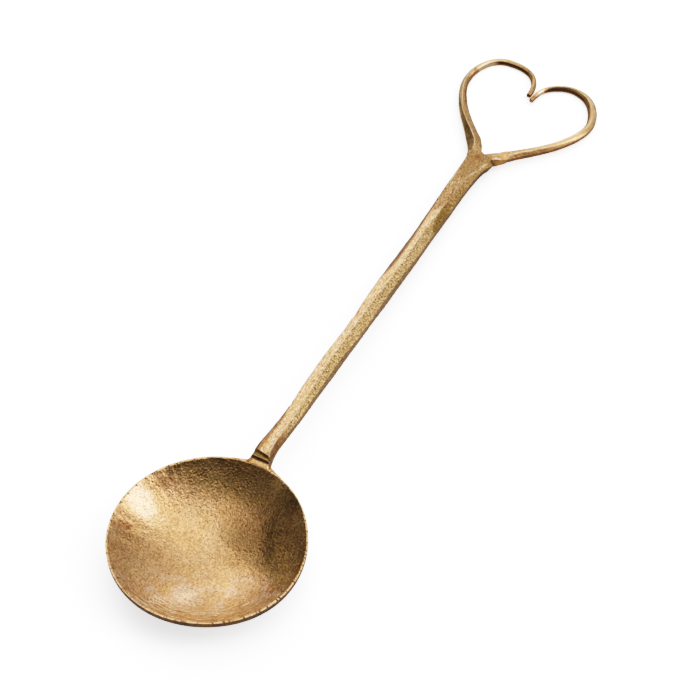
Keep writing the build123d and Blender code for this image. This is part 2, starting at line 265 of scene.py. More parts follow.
def build_bowl():
    NT = 1400
    rows = []                       # (kind, value, count)
    for u in np.linspace(0.90, 0.985, 12):
        rows.append(("outer", u, NT))
    lip = [(1.0, -2.12), (1.0, -1.95), (1.0, -1.7), (1.0, -1.45), (1.0, -1.2), (1.0, -0.95), (1.0, -0.7), (1.0, -0.5), (1.0, -0.34), (1.0, -0.22),
           (0.985, -0.12), (0.94, -0.05), (0.86, -0.015), (0.74, 0.0), (0.6, 0.0), (0.45, 0.0), (0.3, 0.0), (0.16, -0.01),
           (0.05, -0.035), (0.0, -0.07)]
    for share, drop in lip:
        rows.append(("lip", (share, drop), NT))
    for u in np.linspace(0.992, 0.5, 104):
        rows.append(("inner", u, NT))
    rows_in2 = [("inner", u, NT // 2) for u in np.linspace(0.494, 0.25, 52)]
    rows_out2 = [("outer", u, NT // 2) for u in np.linspace(0.89, 0.30, 60)]
    all_rows = list(reversed(rows_out2)) + rows + rows_in2
    index, verts, side, uu, tt = [], [], [], [], []
    for kind, val, n in all_rows:
        t = np.arange(n) * 2 * math.pi / n
        w = rim_wave(t)
        edge = lip_width(t)
        ro = RIM_R + w
        ri = ro - edge
        if kind == "outer":
            r, z, u, s = val * (RIM_R + w * val), np.full(n, float(outer_z(np.array([val]))[0])), np.full(n, val), -1
        elif kind == "inner":
            r, z, u, s = val * (RIM_R - edge + w * val), np.full(n, float(inner_z(np.array([val]))[0])), np.full(n, val), 1
        else:
            r, z, u = ri + (ro - ri) * val[0], np.full(n, RIM_Z + val[1]), np.full(n, 1.0)
            s = 0 if val[1] > -0.13 else -2
            if val[1] < -2.0:
                r = r - 0.05
        start = sum(len(x) for x in verts)
        index.append(np.arange(n) + start)
        verts.append(np.stack([r * np.cos(t), r * np.sin(t), z], 1))
        side.append(np.full(n, s)); uu.append(u); tt.append(t)
    faces = []
    for a, b in zip(index[:-1], index[1:]):
        if len(a) == len(b):
            faces += np.stack([a, np.roll(a, -1), np.roll(b, -1), b], 1).tolist()
        elif len(b) * 2 == len(a):
            f0, f1, f2 = a[0::2], a[1::2], np.roll(a[0::2], -1)
            c0, c1 = b, np.roll(b, -1)
            faces += np.stack([f0, f1, c0], 1).tolist() + np.stack([f1, c1, c0], 1).tolist() + np.stack([f1, f2, c1], 1).tolist()
        else:
            f0, f1, f2 = b[0::2], b[1::2], np.roll(b[0::2], -1)
            c0, c1 = a, np.roll(a, -1)
            faces += np.stack([c0, f1, f0], 1).tolist() + np.stack([c0, c1, f1], 1).tolist() + np.stack([c1, f2, f1], 1).tolist()
    # centre patches, square grids mapped to discs
    k = NT // 8

    def patch(u_edge, kind, flip):
        g = np.linspace(-1, 1, k + 1)
        X, Y = np.meshgrid(g, g, indexing="ij")
        mx = np.maximum(np.abs(X), np.abs(Y))
        safe = np.where(mx == 0, 1, mx)
        ang = np.where(np.abs(X) >= np.abs(Y),
                       np.where(X >= 0, (math.pi / 4) * Y / safe, math.pi - (math.pi / 4) * Y / safe),
                       np.where(Y >= 0, math.pi / 2 - (math.pi / 4) * X / safe, 1.5 * math.pi + (math.pi / 4) * X / safe))
        u = (mx * u_edge).ravel()
        t = np.mod(ang.ravel(), 2 * math.pi)
        w = rim_wave(t)
        if kind == "inner":
            r, z = u * (RIM_R - lip_width(t) + w * u), inner_z(u)
        else:
            r, z = u * (RIM_R + w * u), outer_z(u)
        start = sum(len(x) for x in verts)
        verts.append(np.stack([r * np.cos(t), r * np.sin(t), z], 1))
        side.append(np.full(len(u), 1 if kind == "inner" else -1)); uu.append(u); tt.append(t)
        ids = (np.arange((k + 1) ** 2) + start).reshape(k + 1, k + 1)
        q = np.stack([ids[:-1, :-1], ids[1:, :-1], ids[1:, 1:], ids[:-1, 1:]], -1).reshape(-1, 4)
        faces.extend((q[:, ::-1] if flip else q).tolist())

    patch(0.25, "inner", False)
    patch(0.30, "outer", True)
    V = np.vstack(verts)
    return V, faces, np.concatenate(side), np.concatenate(uu), np.concatenate(tt)


def blob(x, y, cx, cy, rx, ry, turn=0.0):
    """1 at (cx, cy), falling smoothly to 0 at an ellipse's edge."""
    c, s = math.cos(math.radians(turn)), math.sin(math.radians(turn))
    dx, dy = x - cx, y - cy
    q = ((dx * c + dy * s) / rx) ** 2 + ((-dx * s + dy * c) / ry) ** 2
    return np.clip(1 - q, 0, 1) ** 2


def flat(x, y):
    return np.stack([x, y, np.zeros_like(x)], 1)


# Hammer dents in the sheet, none listed: centre, half sizes, turn and depth in mm (below 0 is a bump).
DENTS = []


def bowl_low(x, y):
    """Low hammered undulation of the sheet, in mm along the inward normal."""
    p = flat(x, y)
    d = 0.085 * noise(p / 12.0, 5) + 0.040 * noise(p / 6.0, 8) + 0.018 * noise(p / 3.4, 9)
    for cx, cy, rx, ry, turn, depth in DENTS:
        d = d - depth * blob(x, y, cx, cy, rx, ry, turn)
    return d


def bowl_marks(V, side, u, t):
    """Finish of the bowl at each point, with painted light, shade and highlight."""
    x, y, z = V.T
    p = flat(x, y)
    wx, wy = x + 0.8 * fbm(p / 2.2, 3, 141), y + 0.8 * fbm(p / 2.2, 3, 143)
    inner = side == 1
    m = {}
    # thin wandering wrinkles
    q = p / 2.1 + 0.35 * np.stack([fbm(p / 1.3, 2, 151), fbm(p / 1.3, 2, 152), 0 * x], 1)
    line = np.abs(noise(q, 153))
    gate = smooth(noise(p / 4.5, 154), -0.10, 0.35)
    m["wrinkle"] = (1 - smooth(line, 0.015, 0.075)) * gate * inner
    brown = np.zeros(len(x))
    for cx, cy, rx, ry, turn, a in ((-6.3, 25.8, 4.6, 2.0, -59, 1.0), (13.0, 22.6, 4.6, 2.2, -40, 0.8), (-5.6, -26.2, 3.6, 1.9, -78, 0.8),
                                    (28.7, 5.2, 1.1, 2.6, 0, 1.1), (28.1, 8.6, 0.8, 1.6, 0, 0.8),
                                    (-24.5, 8.0, 3.0, 1.3, -70, 0.25)):
        brown = np.maximum(brown, a * smooth(blob(wx, wy, cx, cy, rx, ry, turn), 0.05, 0.5))
    m["brown"] = brown * inner
    away = x * AWAY.x + y * AWAY.y
    right = x * RIGHT.x + y * RIGHT.y
    # olive along the far side, darkest at the far right, and on the right as far as a sharp edge: partly raw olive
    # skin, partly painted shade where the bowl mirrors the dark room
    far_shade = smooth(away + 0.35 * right + 1.6 * noise(p / 6.0, 161), 17.5, 23.5) * smooth(right, -16, -8)
    shade_corner = blob(wx, wy, 26.5, -15.5, 11.0, 8.0, -25)
    side_edge = (wx - 4.9) * 0.672 - (wy + 16.4) * 0.741 + 0.5 * noise(p / 2.5, 166)
    shade_bank = smooth(side_edge, -0.5, 1.1) * smooth(x, -12.5, -8.0) * smooth(-y, 8, 15)
    rim_side = smooth(right + 0.8 * noise(p / 4.0, 169), 17.0, 23.0)
    # painted shade: a browner, darker wedge from the middle out to the right, up to an edge that runs out towards the
    # rim
    across = (wx - 1.9) * 0.929 - (wy + 12.8) * 0.369 + 0.6 * noise(p / 2.0, 173)
    outward = -(wx - 3.2) * 0.369 - (wy + 12.8) * 0.929
    shade_wedge = smooth(across, -0.3, 1.0) * (1 - smooth(across, 5.0, 9.0)) * smooth(outward, -19, -13) * (1 - shade_bank)
    m["olive_and_shade"] = np.clip(far_shade * 0.95 + 0.95 * shade_bank + 0.9 * rim_side + 0.5 * shade_wedge + 0.4 * blob(wx, wy, -19.0, 18.0, 11.0, 9.0), 0, 1) * inner
    # painted shade: the far-right corner, the right side beyond the sharp edge and a patch on the far wall are darkened
    m["shade"] = np.clip(smooth(shade_corner, 0.02, 0.8) * 0.58 + 0.20 * shade_bank + 0.35 * blob(wx, wy, 25.5, 3.5, 5.5, 9.0), 0, 1) * inner
    # painted light and shade: the bowl's brightness is raised on the right rim and in some patches, and lowered on the
    # far side, beyond the sharp edge, in the wedge, in the corner and in some patches
    painted_light = 0.55 * rim_side + 0.15 * blob(wx, wy, -5.5, -11.0, 9.0, 7.0, 30) + 0.22 * blob(wx, wy, -19.0, -0.5, 7.5, 6.0, 40)
    m["painted_light_and_shade"] = np.where(inner, 0.87 + painted_light + 0.05 * noise(p / 5.5, 171) - 0.10 * far_shade - 0.22 * shade_bank * (1 - rim_side)
                         - 0.09 * shade_wedge - 0.09 * blob(wx, wy, 5.5, -15.0, 5.5, 5.5) - 0.15 * smooth(shade_corner, 0.02, 0.8) - 0.07 * blob(wx, wy, -13.8, -6.3, 6.0, 5.0) + 0.17 * blob(wx, wy, -19.0, 18.0, 11.0, 9.0) + 0.20 * blob(wx, wy, -2.5, -19.5, 8.5, 8.5)
                         + 0.09 * blob(wx, wy, 19.5, 16.5, 9.0, 8.0), 1.0)
    m["gold"] = smooth(-away + 1.2 * noise(p / 3.0, 168), 17, 23) * inner
    pink = smooth(noise(p / 5.0, 163) + 0.4 * noise(p / 1.7, 164), 0.0, 0.6) * smooth(-away, 2, 12)
    pink = np.maximum(pink, 0.9 * smooth(blob(wx, wy, -17.5, -2.0, 8.5, 6.5, 40), 0.0, 0.6))
    m["pink"] = np.clip(pink, 0, 1) * inner
    # painted highlight: a pale cream patch on the far-left wall, where the bowl mirrors the lamps, and the same pale
    # colour in smears along the near wall
    m["bright"] = smooth(blob(wx, wy, 4.2, 26.2, 9.0, 5.6, 66), 0.02, 0.6) * inner
    for cx, cy, rx, ry, turn, a in ((-23.8, 4.2, 4.4, 2.3, 100, 0.9), (-25.6, -2.0, 3.4, 1.1, 96, 0.6), (-24.4, -9.5, 4.2, 1.1, 70, 0.5), (-20.5, -15.0, 4.4, 1.2, 50, 0.5)):
        m["bright"] = np.maximum(m["bright"], a * smooth(blob(wx, wy, cx, cy, rx, ry, turn) + 0.12 * noise(p / 1.0, 174), 0.05, 0.3) * inner)
    m["edge"] = (side == 0) * 1.0
    m["skin"] = np.where(side < 0, 1.0, 0.0)
    return m


def make_bowl():
    V, faces, side, u, t = build_bowl()
    r = np.hypot(V[:, 0], V[:, 1])
    slope_in = (RIM_Z - INNER_Z) / (RIM_R - RIM_EDGE) * IN_P * np.maximum(u, 1e-6) ** (IN_P - 1)
    nrm = np.stack([-V[:, 0] / np.maximum(r, 1e-6) * slope_in, -V[:, 1] / np.maximum(r, 1e-6) * slope_in,
                    np.ones(len(V))], 1)
    nrm /= np.linalg.norm(nrm, axis=1)[:, None]
    skirt = side == -2
    nrm[skirt] = -np.stack([V[skirt, 0] / r[skirt], V[skirt, 1] / r[skirt], 0 * r[skirt]], 1)
    low = bowl_low(V[:, 0], V[:, 1]) * (1 - smooth(u, 0.95, 1.0))
    low = np.where(side < 0, low * smooth(u, 0.26, 0.5), low)
    marks = bowl_marks(V, side, u, t)
    away = V[:, 0] * AWAY.x + V[:, 1] * AWAY.y
    crust = 1.0 + 0.25 * smooth(away + 4 * noise(V / 7.0, 13), 2.0, 14.0)
    grain = 0.014 * fbm(V / 1.9, 2, 11) + 0.009 * crust * noise(V / 0.9, 21) + 0.0270 * crust * fbm(V / 0.50, 2, 23, 0.8)
    cell, who = cells(V / 1.1, 27)
    grain -= 0.038 * (1 - smooth(cell, 0.05, 0.42)) * (who > 0.45)
    grain -= 0.040 * marks["wrinkle"]
    scratch = fbm(np.stack([V[:, 0] / 7.0 + V[:, 1] / 40.0, V[:, 1] / 0.42, 0 * V[:, 0]], 1), 2, 29)
    grain += 0.018 * scratch * marks["olive_and_shade"]
    # rubbed lines along the near rim
    round_rim = fbm(np.stack([t * 5.0, r / 0.62, 0 * r], 1), 3, 31, 0.6)
    near = smooth(-away, 13, 20) * smooth(r, 19, 24) * (side == 1)
    grain += 0.045 * round_rim * near
    marks["lines"] = smooth(round_rim, 0.18, 0.55) * near
    marks["gaps"] = smooth(-round_rim, 0.25, 0.6) * near
    grain = grain * np.where(side == 0, 0.5, np.where(skirt, 1.3, 1.0))
    off = np.where(side < 0, low - grain, low + grain)
    off = np.where(skirt, np.maximum(off, 0) + 0.07, off)
    V = V + nrm * off[:, None]
    # hand-filed edge and notches across the rim
    top = V[:, 2] > RIM_Z - 0.6
    depth = np.zeros(len(V))
    rng = np.random.default_rng(4)
    for a in [*NICKS, *rng.uniform(0, 360, 24)]:
        dt = (np.degrees(t) - a + 180) % 360 - 180
        s = np.radians(dt) * r + 0.5 * (r - RIM_R) * rng.uniform(-1, 1)
        dep, half = rng.uniform(0.16, 0.38), rng.uniform(0.14, 0.26)
        d = dep * np.clip(1 - np.abs(s) / half, 0, 1) ** 0.8
        depth = np.maximum(depth, d)
    wav = 0.07 * noise(np.stack([V[:, 0] / 5, V[:, 1] / 5, np.zeros(len(V))], 1), 3) + 0.035 * noise(flat(V[:, 0], V[:, 1]) / 1.2, 4)
    marks["nick"] = np.clip(depth / 0.10, 0, 1) * smooth(r, 28.6, 29.1) * (side >= 0)
    lid = RIM_Z - 0.09 + wav - depth
    V[:, 2] = np.where(top & (V[:, 2] > lid), lid, V[:, 2])
    V[:, 2] = np.maximum(V[:, 2], 0.0)
    ob = new_mesh("bowl_sheet", V, faces)
    for k, v in marks.items():
        attribute(ob.data, k, v)
    attribute(ob.data, "pit", np.clip((1 - smooth(cell, 0.05, 0.36)) * (who > 0.55), 0, 1))
    bm = bmesh.new()
    bm.from_mesh(ob.data)
    bmesh.ops.remove_doubles(bm, verts=bm.verts, dist=2e-6)
    bmesh.ops.recalc_face_normals(bm, faces=bm.faces)
    bm.to_mesh(ob.data)
    bm.free()
    return ob


# --------------------------------------------------------- bar and heart arms
NECK_X, NECK_ZC, LOBE_X, LOBE_ZC = 32.0, 10.5, 229.8, 1.0


def line_z(x):
    return NECK_ZC + (LOBE_ZC - NECK_ZC) * (x - NECK_X) / (LOBE_X - NECK_X)


# The bar's section, one row each: X; left side's Y; left edge of the top's Y; ridge's Y; right edge of the top's Y; right
# side's lower Y; then from the centre line the ridge's and the bottom's height, and the drops from the ridge to the left
# edge, from there down to the left side, and from the ridge to the right edge.
SHANK = [
    (26.00, 3.90, 3.50, -3.50, -4.30, -4.10, 0.60, -2.15, 0.00, 0.30, 0.40),
    (29.04, 4.33, 3.93, -3.98, -4.78, -4.58, 0.80, -2.30, 0.00, 0.30, 0.40),
    (30.62, 4.01, 3.61, -3.59, -4.59, -4.49, 0.95, -2.35, 0.00, 0.35, 0.45),
    (31.21, 3.71, 3.31, -3.19, -4.19, -4.24, 1.02, -2.40, 0.00, 0.40, 0.50),
    (31.80, 3.50, 3.05, -2.75, -3.60, -3.90, 1.15, -2.40, 0.00, 0.45, 0.60),
    (32.15, 3.38, 2.90, -2.50, -3.25, -3.70, 1.55, -2.15, 0.00, 0.50, 0.70),
    (32.39, 3.32, 2.84, -2.35, -3.05, -3.55, 2.08, -2.25, 0.00, 0.55, 0.80),
    (32.74, 3.29, 2.77, -2.26, -2.96, -3.36, 1.95, -2.35, 0.00, 0.60, 0.90),
    (33.28, 3.31, 2.64, -2.11, -2.81, -3.11, 2.05, -2.45, 0.05, 0.70, 1.10),
    (33.73, 3.35, 2.49, -1.96, -2.71, -2.96, 2.40, -2.55, 0.10, 0.80, 1.40),
    (33.97, 3.38, 2.36, -1.92, -2.67, -2.87, 2.90, -2.60, 0.20, 1.00, 1.70),
    (34.76, 3.43, 2.48, -1.64, -2.62, -2.67, 2.88, -2.65, 0.25, 1.00, 1.95),
    (36.4, 3.47, 2.62, -1.30, -2.54, -2.19, 2.80, -2.73, 0.28, 0.90, 2.20),
    (39.9, 3.25, 2.60, -1.02, -2.43, -1.87, 2.70, -2.69, 0.33, 0.70, 2.10),
    (44.8, 2.89, 2.28, -1.02, -2.55, -2.06, 2.55, -2.59, 0.40, 0.60, 1.90),
    (50.7, 2.54, 2.06, -1.03, -2.82, -2.32, 2.47, -2.51, 0.42, 0.50, 1.60),
    (56.6, 2.49, 2.20, -0.98, -2.92, -2.45, 2.40, -2.45, 0.44, 0.35, 1.40),
    (63.0, 2.69, 2.44, -0.60, -2.84, -2.48, 2.40, -2.44, 0.46, 0.30, 1.20),
    (69.4, 2.76, 2.48, -0.25, -2.76, -2.64, 2.39, -2.43, 0.48, 0.30, 1.10),
    (75.3, 2.81, 2.53, -0.02, -2.78, -2.83, 2.39, -2.43, 0.50, 0.30, 1.10),
    (81.8, 2.62, 2.34, 0.04, -2.93, -2.86, 2.38, -2.42, 0.50, 0.30, 1.10),
    (88.1, 2.42, 2.13, 0.01, -3.31, -3.00, 2.38, -2.41, 0.50, 0.30, 1.10),
    (94.7, 2.35, 2.07, -0.07, -3.54, -3.07, 2.37, -2.41, 0.50, 0.30, 1.05),
    (101.3, 2.42, 2.14, -0.14, -3.56, -3.20, 2.37, -2.40, 0.50, 0.30, 1.05),
    (107.7, 2.58, 2.30, -0.32, -3.41, -3.38, 2.37, -2.39, 0.46, 0.30, 1.10),
    (114.6, 2.69, 2.30, -0.57, -3.47, -3.51, 2.36, -2.38, 0.42, 0.45, 1.10),
    (121.5, 2.73, 1.46, -0.82, -3.62, -3.61, 2.36, -2.37, 0.39, 1.00, 1.10),
    (128.3, 2.68, 1.08, -0.90, -4.02, -3.72, 2.35, -2.35, 0.35, 1.15, 1.00),
    (135.2, 2.38, 1.12, -0.79, -4.18, -3.68, 2.33, -2.32, 0.31, 1.00, 0.95),
    (142.0, 2.25, 1.25, -0.80, -4.11, -3.68, 2.29, -2.28, 0.28, 0.80, 1.20),
    (148.9, 2.28, 1.46, -0.93, -4.11, -3.87, 2.27, -2.23, 0.24, 0.60, 1.30),
    (155.7, 2.32, 1.75, -1.39, -4.17, -3.88, 2.24, -2.19, 0.20, 0.45, 1.25),
    (163.0, 2.43, 1.92, -2.00, -4.34, -3.94, 2.20, -2.15, 0.17, 0.40, 1.05),
    (170.4, 2.48, 2.11, -3.07, -4.75, -4.30, 2.14, -2.11, 0.15, 0.40, 0.80),
    (176.2, 2.52, 2.21, -4.30, -5.69, -4.85, 2.08, -2.07, 0.12, 0.40, 0.50),
    (179.4, 2.69, 2.36, -5.82, -7.20, -5.80, 2.05, -2.05, 0.12, 0.40, 0.40),
    (183.1, 3.05, 2.73, -5.95, -7.33, -5.93, 2.03, -2.03, 0.12, 0.40, 0.40),
    (187.0, 3.07, 2.72, -5.98, -7.36, -5.96, 2.00, -2.00, 0.12, 0.40, 0.40),
]
BOTTOM_CHAMFER = 0.6
CROTCH, LEFT_CORNER, RIGHT_CORNER = (184.15, -0.85), (182.47, 3.03), (179.44, -7.43)
# The heart's arms: X, Y, width, height, twist in degrees, the ridge's place (1 is the left edge, seen along the arm) and
# the drops from the ridge to the left and the right edge.
LEFT_ARM = [
    (184.10, 1.65, 4.70, 3.90, 0, 0.30, 1.30, 0.70), (186.03, 2.62, 4.90, 3.70, 0, 0.12, 1.60, 0.90),
    (188.60, 4.21, 4.90, 3.50, 0, -0.02, 1.60, 1.00), (191.53, 6.58, 4.20, 3.25, 2, 0.05, 1.40, 0.90),
    (195.92, 10.15, 3.55, 2.95, 3, 0.30, 1.00, 0.80), (200.50, 13.64, 3.20, 2.75, 1, 0.45, 0.65, 0.80),
    (205.66, 16.72, 2.95, 2.60, 0, 0.10, 0.45, 0.80), (211.31, 19.01, 2.60, 2.45, 0, -0.05, 0.45, 0.75),
    (214.33, 19.57, 2.45, 2.35, 0, -0.1, 0.45, 0.65), (217.15, 19.60, 2.35, 2.25, 0, 0.0, 0.40, 0.50),
    (219.87, 19.22, 2.25, 2.20, 0, 0.1, 0.20, 0.30), (222.31, 18.51, 2.15, 2.15, 0, 0.2, 0.20, 0.25),
    (224.64, 17.44, 2.10, 2.10, 0, 0.2, 0.20, 0.25), (226.58, 16.13, 2.05, 2.10, 0, 0.2, 0.20, 0.20),
    (228.04, 14.53, 2.05, 2.10, 0, 0.2, 0.20, 0.20), (229.11, 12.74, 2.10, 2.10, 0, 0.2, 0.20, 0.20),
    (229.65, 10.75, 2.10, 2.10, 0, 0.2, 0.20, 0.20), (229.74, 8.66, 2.10, 2.10, 0, 0.2, 0.20, 0.20),
    (229.70, 6.48, 2.10, 2.10, 0, 0.2, 0.20, 0.20), (229.26, 4.25, 2.05, 2.05, 0, 0.2, 0.20, 0.20),
    (228.33, 1.92, 2.00, 2.00, 0, 0.1, 0.20, 0.20), (226.58, -0.20, 1.95, 1.95, 0, 0.0, 0.20, 0.20),
    (223.96, -1.81, 1.90, 1.90, 0, 0.0, 0.20, 0.20), (220.94, -2.62, 1.75, 1.85, 0, 0.0, 0.20, 0.20),
    (217.75, -2.62, 1.55, 1.75, 0, 0.0, 0.20, 0.20),
]
RIGHT_ARM = [
    (184.12, -5.95, 5.00, 3.30, -20, 0.0, 0.40, 0.50), (185.10, -7.26, 4.10, 3.10, -8, 0.0, 0.40, 0.60),
    (186.66, -8.71, 3.40, 3.10, 16, 0.2, 0.35, 0.40), (189.39, -11.57, 2.95, 2.80, 22, 0.2, 0.30, 0.30),
    (193.73, -16.07, 2.80, 2.65, 20, 0.2, 0.30, 0.30), (198.45, -20.39, 2.70, 2.55, 16, 0.2, 0.30, 0.30),
    (202.06, -23.05, 2.65, 2.50, 12, 0.1, 0.30, 0.30), (205.95, -25.31, 2.60, 2.45, 8, 0.0, 0.30, 0.30),
    (208.39, -26.32, 2.65, 2.40, 4, 0.0, 0.30, 0.30), (210.82, -27.04, 2.75, 2.35, 0, 0.0, 0.30, 0.30),
    (213.45, -27.31, 2.95, 2.30, 0, 0.0, 0.30, 0.30), (216.27, -26.98, 3.15, 2.30, 0, 0.1, 0.30, 0.30),
    (219.10, -26.16, 3.20, 2.30, 0, 0.2, 0.25, 0.30), (221.82, -24.79, 3.10, 2.25, 0, 0.3, 0.20, 0.30),
    (224.15, -23.07, 2.90, 2.20, 0, 0.3, 0.20, 0.25), (225.90, -20.95, 2.65, 2.15, 0, 0.3, 0.20, 0.25),
    (226.88, -18.72, 2.40, 2.15, 0, 0.2, 0.20, 0.20), (227.46, -16.44, 2.15, 2.10, 0, 0.2, 0.20, 0.20),
    (227.51, -14.31, 2.00, 2.05, 0, 0.2, 0.20, 0.20), (227.07, -12.27, 1.90, 2.00, 0, 0.2, 0.20, 0.20),
    (226.20, -10.37, 1.80, 1.95, 0, 0.1, 0.20, 0.20), (225.03, -8.58, 1.75, 1.90, 0, 0.0, 0.20, 0.20),
    (223.57, -6.98, 1.65, 1.80, 0, 0.0, 0.20, 0.20), (221.82, -5.78, 1.60, 1.75, 0, 0.0, 0.20, 0.20),
    (219.30, -4.92, 1.50, 1.70, 0, 0.0, 0.15, 0.15), (215.85, -4.42, 1.40, 1.60, 0, 0.0, 0.15, 0.15),
]
LEFT_ROOT, RIGHT_ROOT = [181.6, 0.90, line_z(181.6)], [181.3, -2.60, line_z(181.3)]
NSEG = 6      # points along each side of a section


def octagon(c):
    """8 corners (n, 8, 2) to a ring of points with NSEG on each side."""
    nxt = np.roll(c, -1, axis=1)
    f = (np.arange(NSEG) / NSEG)[None, None, :, None]
    return (c[:, :, None, :] * (1 - f) + nxt[:, :, None, :] * f).reshape(len(c), -1, 2)


def tube(rings):
    """Closed mesh from rings (n, m, 3)."""
    n, mm = rings.shape[:2]
    ids = np.arange(n * mm).reshape(n, mm)
    a, b = ids[:-1], ids[1:]
    faces = np.stack([a, b, np.roll(b, -1, 1), np.roll(a, -1, 1)], -1).reshape(-1, 4).tolist()
    faces.append(ids[0].tolist())
    faces.append(ids[-1][::-1].tolist())
    return rings.reshape(-1, 3), faces


def shank_at(x):
    S = np.array(SHANK, float)
    return pchip(x, S[:, 0], S[:, 1:]).T


def shank_rings():
    x = np.unique(np.round(np.r_[np.arange(26.0, 36.0, 0.12), np.arange(36.0, 187.01, 0.4)], 4))
    y2, y1, y0, y7, y6, zt, zb, dl, bd, er = shank_at(x)
    zc = line_z(x)
    cb = BOTTOM_CHAMFER
    c = np.stack([np.stack([y0, zc + zt], 1), np.stack([y1, zc + zt - dl], 1), np.stack([y2, zc + zt - dl - bd], 1),
                  np.stack([y2 - 0.15, zc + zb + cb], 1), np.stack([y2 - 0.15 - cb, zc + zb], 1),
                  np.stack([y6 + cb, zc + zb], 1), np.stack([y6, zc + zb + cb], 1), np.stack([y7, zc + zt - er], 1)], 1)
    ring = octagon(c)
    X = np.broadcast_to(x[:, None], ring.shape[:2]).copy()
    # the top's end above the neck runs slightly askew
    w = (smooth(x, 32.6, 33.8) * (1 - smooth(x, 34.2, 38.0)))[:, None]
    X += w * 0.2 * (ring[..., 0] - 0.1)
    return np.dstack([X, ring[..., 0], ring[..., 1]])


def arm_line(table, root):
    T = np.array(table, float)
    P = np.column_stack([T[:, 0], T[:, 1], line_z(T[:, 0])])
    P = np.vstack([root, P])
    W = np.vstack([T[0, 2:], T[:, 2:]])
    W[0, 0] *= 1.05
    pts, knot, s = catmull(P, 0.3)
    return pts, pchip(knot, np.arange(len(W)), W), s


def arm_frames(pts, twist):
    tan = np.gradient(pts, axis=0)
    tan /= np.linalg.norm(tan, axis=1)[:, None]
    side = np.cross(np.array([0, 0, 1.0]), tan)
    side /= np.linalg.norm(side, axis=1)[:, None]
    up = np.cross(tan, side)
    a = np.radians(twist)[:, None]
    return tan, side * np.cos(a) + up * np.sin(a), up * np.cos(a) - side * np.sin(a)


def arm_rings(table, root, inner):
    """inner is 1 where the heart's inside is on the arm's left, -1 where it is on the right."""
    pts, w, _ = arm_line(table, root)
    tan, side, up = arm_frames(pts, w[:, 2])
    hw, hh = w[:, 0] / 2, w[:, 1] / 2
    k = 0.14 * np.minimum(w[:, 0], w[:, 1])
    # round the lobes the inner face leans, so that the top is narrower there
    lean = 0.45 * smooth(pts[:, 0], 207, 217) * (1 - smooth(np.arange(len(pts)) / len(pts), 0.86, 0.96))
    w = w.copy()
    w[:, 4:6] += (0.22 * smooth(pts[:, 0], 188, 196))[:, None]
    ll, lr = (lean, 0 * lean) if inner > 0 else (0 * lean, lean)
    c = np.stack([np.stack([w[:, 3] * hw + (lr - ll) * 0.5, hh], 1), np.stack([hw - 0.1 - ll, hh - w[:, 4]], 1),
                  np.stack([hw - 0.8 * ll, hh - w[:, 4] - 0.25], 1),
                  np.stack([hw - 0.05, -hh + k], 1), np.stack([hw - k, -hh], 1), np.stack([-hw + k, -hh], 1),
                  np.stack([-hw + 0.05, -hh + k], 1), np.stack([-hw + lr, hh - w[:, 5]], 1)], 1)
    ring = octagon(c)
    return pts[:, None, :] + side[:, None, :] * ring[..., :1] + up[:, None, :] * ring[..., 1:]


def clip_fork(rings):
    """Trims the shank's rings beyond the two root faces of the fork, towards the crotch."""
    out = rings.copy()
    for a, b in ((LEFT_CORNER, CROTCH), (CROTCH, RIGHT_CORNER)):
        d = np.array(b) - np.array(a)
        d = d / np.linalg.norm(d)
        n = np.array([-d[1], d[0]])
        over = (out[..., 0] - a[0]) * n[0] + (out[..., 1] - a[1]) * n[1]
        over = np.maximum(over, 0)
        out[..., 0] -= over / n[0]
    return out


def remesh(ob, size_mm):
    mod = ob.modifiers.new("voxel", "REMESH")
    mod.mode = "VOXEL"
    mod.voxel_size = size_mm * MM
    mod.adaptivity = 0.0
    dg = bpy.context.evaluated_depsgraph_get()
    me = bpy.data.meshes.new_from_object(ob.evaluated_get(dg))
    ob.modifiers.clear()
    old = ob.data
    ob.data = me
    bpy.data.meshes.remove(old)
    me.polygons.foreach_set("use_smooth", [True] * len(me.polygons))
    return ob


def adjacency(me):
    e = np.zeros(len(me.edges) * 2, np.int64)
    me.edges.foreach_get("vertices", e)
    return e.reshape(-1, 2)


def relax(co, edges, times, weight=1.0, shrink=-0.52):
    """Laplacian smoothing with a weight for each vertex (a pair of steps that hardly shrinks the shape)."""
    n = len(co)
    deg = np.bincount(edges.ravel(), minlength=n)[:, None]
    weight = np.broadcast_to(np.asarray(weight, float), (n,))
    for i in range(times):
        for k in (0.5, shrink):
            acc = np.zeros_like(co)
            for c in range(3):
                acc[:, c] = np.bincount(edges[:, 0], co[edges[:, 1], c], n) + np.bincount(edges[:, 1], co[edges[:, 0], c], n)
            co = co + (acc / deg - co) * (k * weight)[:, None]
    return co


def nearest_on(line, co):
    """Index of the nearest point of line for each point of co (measured on the ground, in chunks of 4000 points)."""
    idx = np.zeros(len(co), np.int64)
    for i in range(0, len(co), 4000):
        d = ((co[i:i + 4000, None, :2] - line[None, :, :2]) ** 2).sum(2)
        idx[i:i + 4000] = d.argmin(1)
    return idx


def arm_place(table, root, co):
    """For each point its distance along the arm, its place across it (1 left, -1 right) and up it (1 top, -1 bottom)."""
    pts, w, s = arm_line(table, root)
    i = nearest_on(pts, co)
    tan, side, up = arm_frames(pts, w[:, 2] * 0)
    d = co - pts[i]
    gap = np.hypot(d[:, 0], d[:, 1])
    return s[i], (d * side[i]).sum(1) / (w[i, 0] / 2), (d * up[i]).sum(1) / (w[i, 1] / 2), gap / (w[i, 0] / 2)


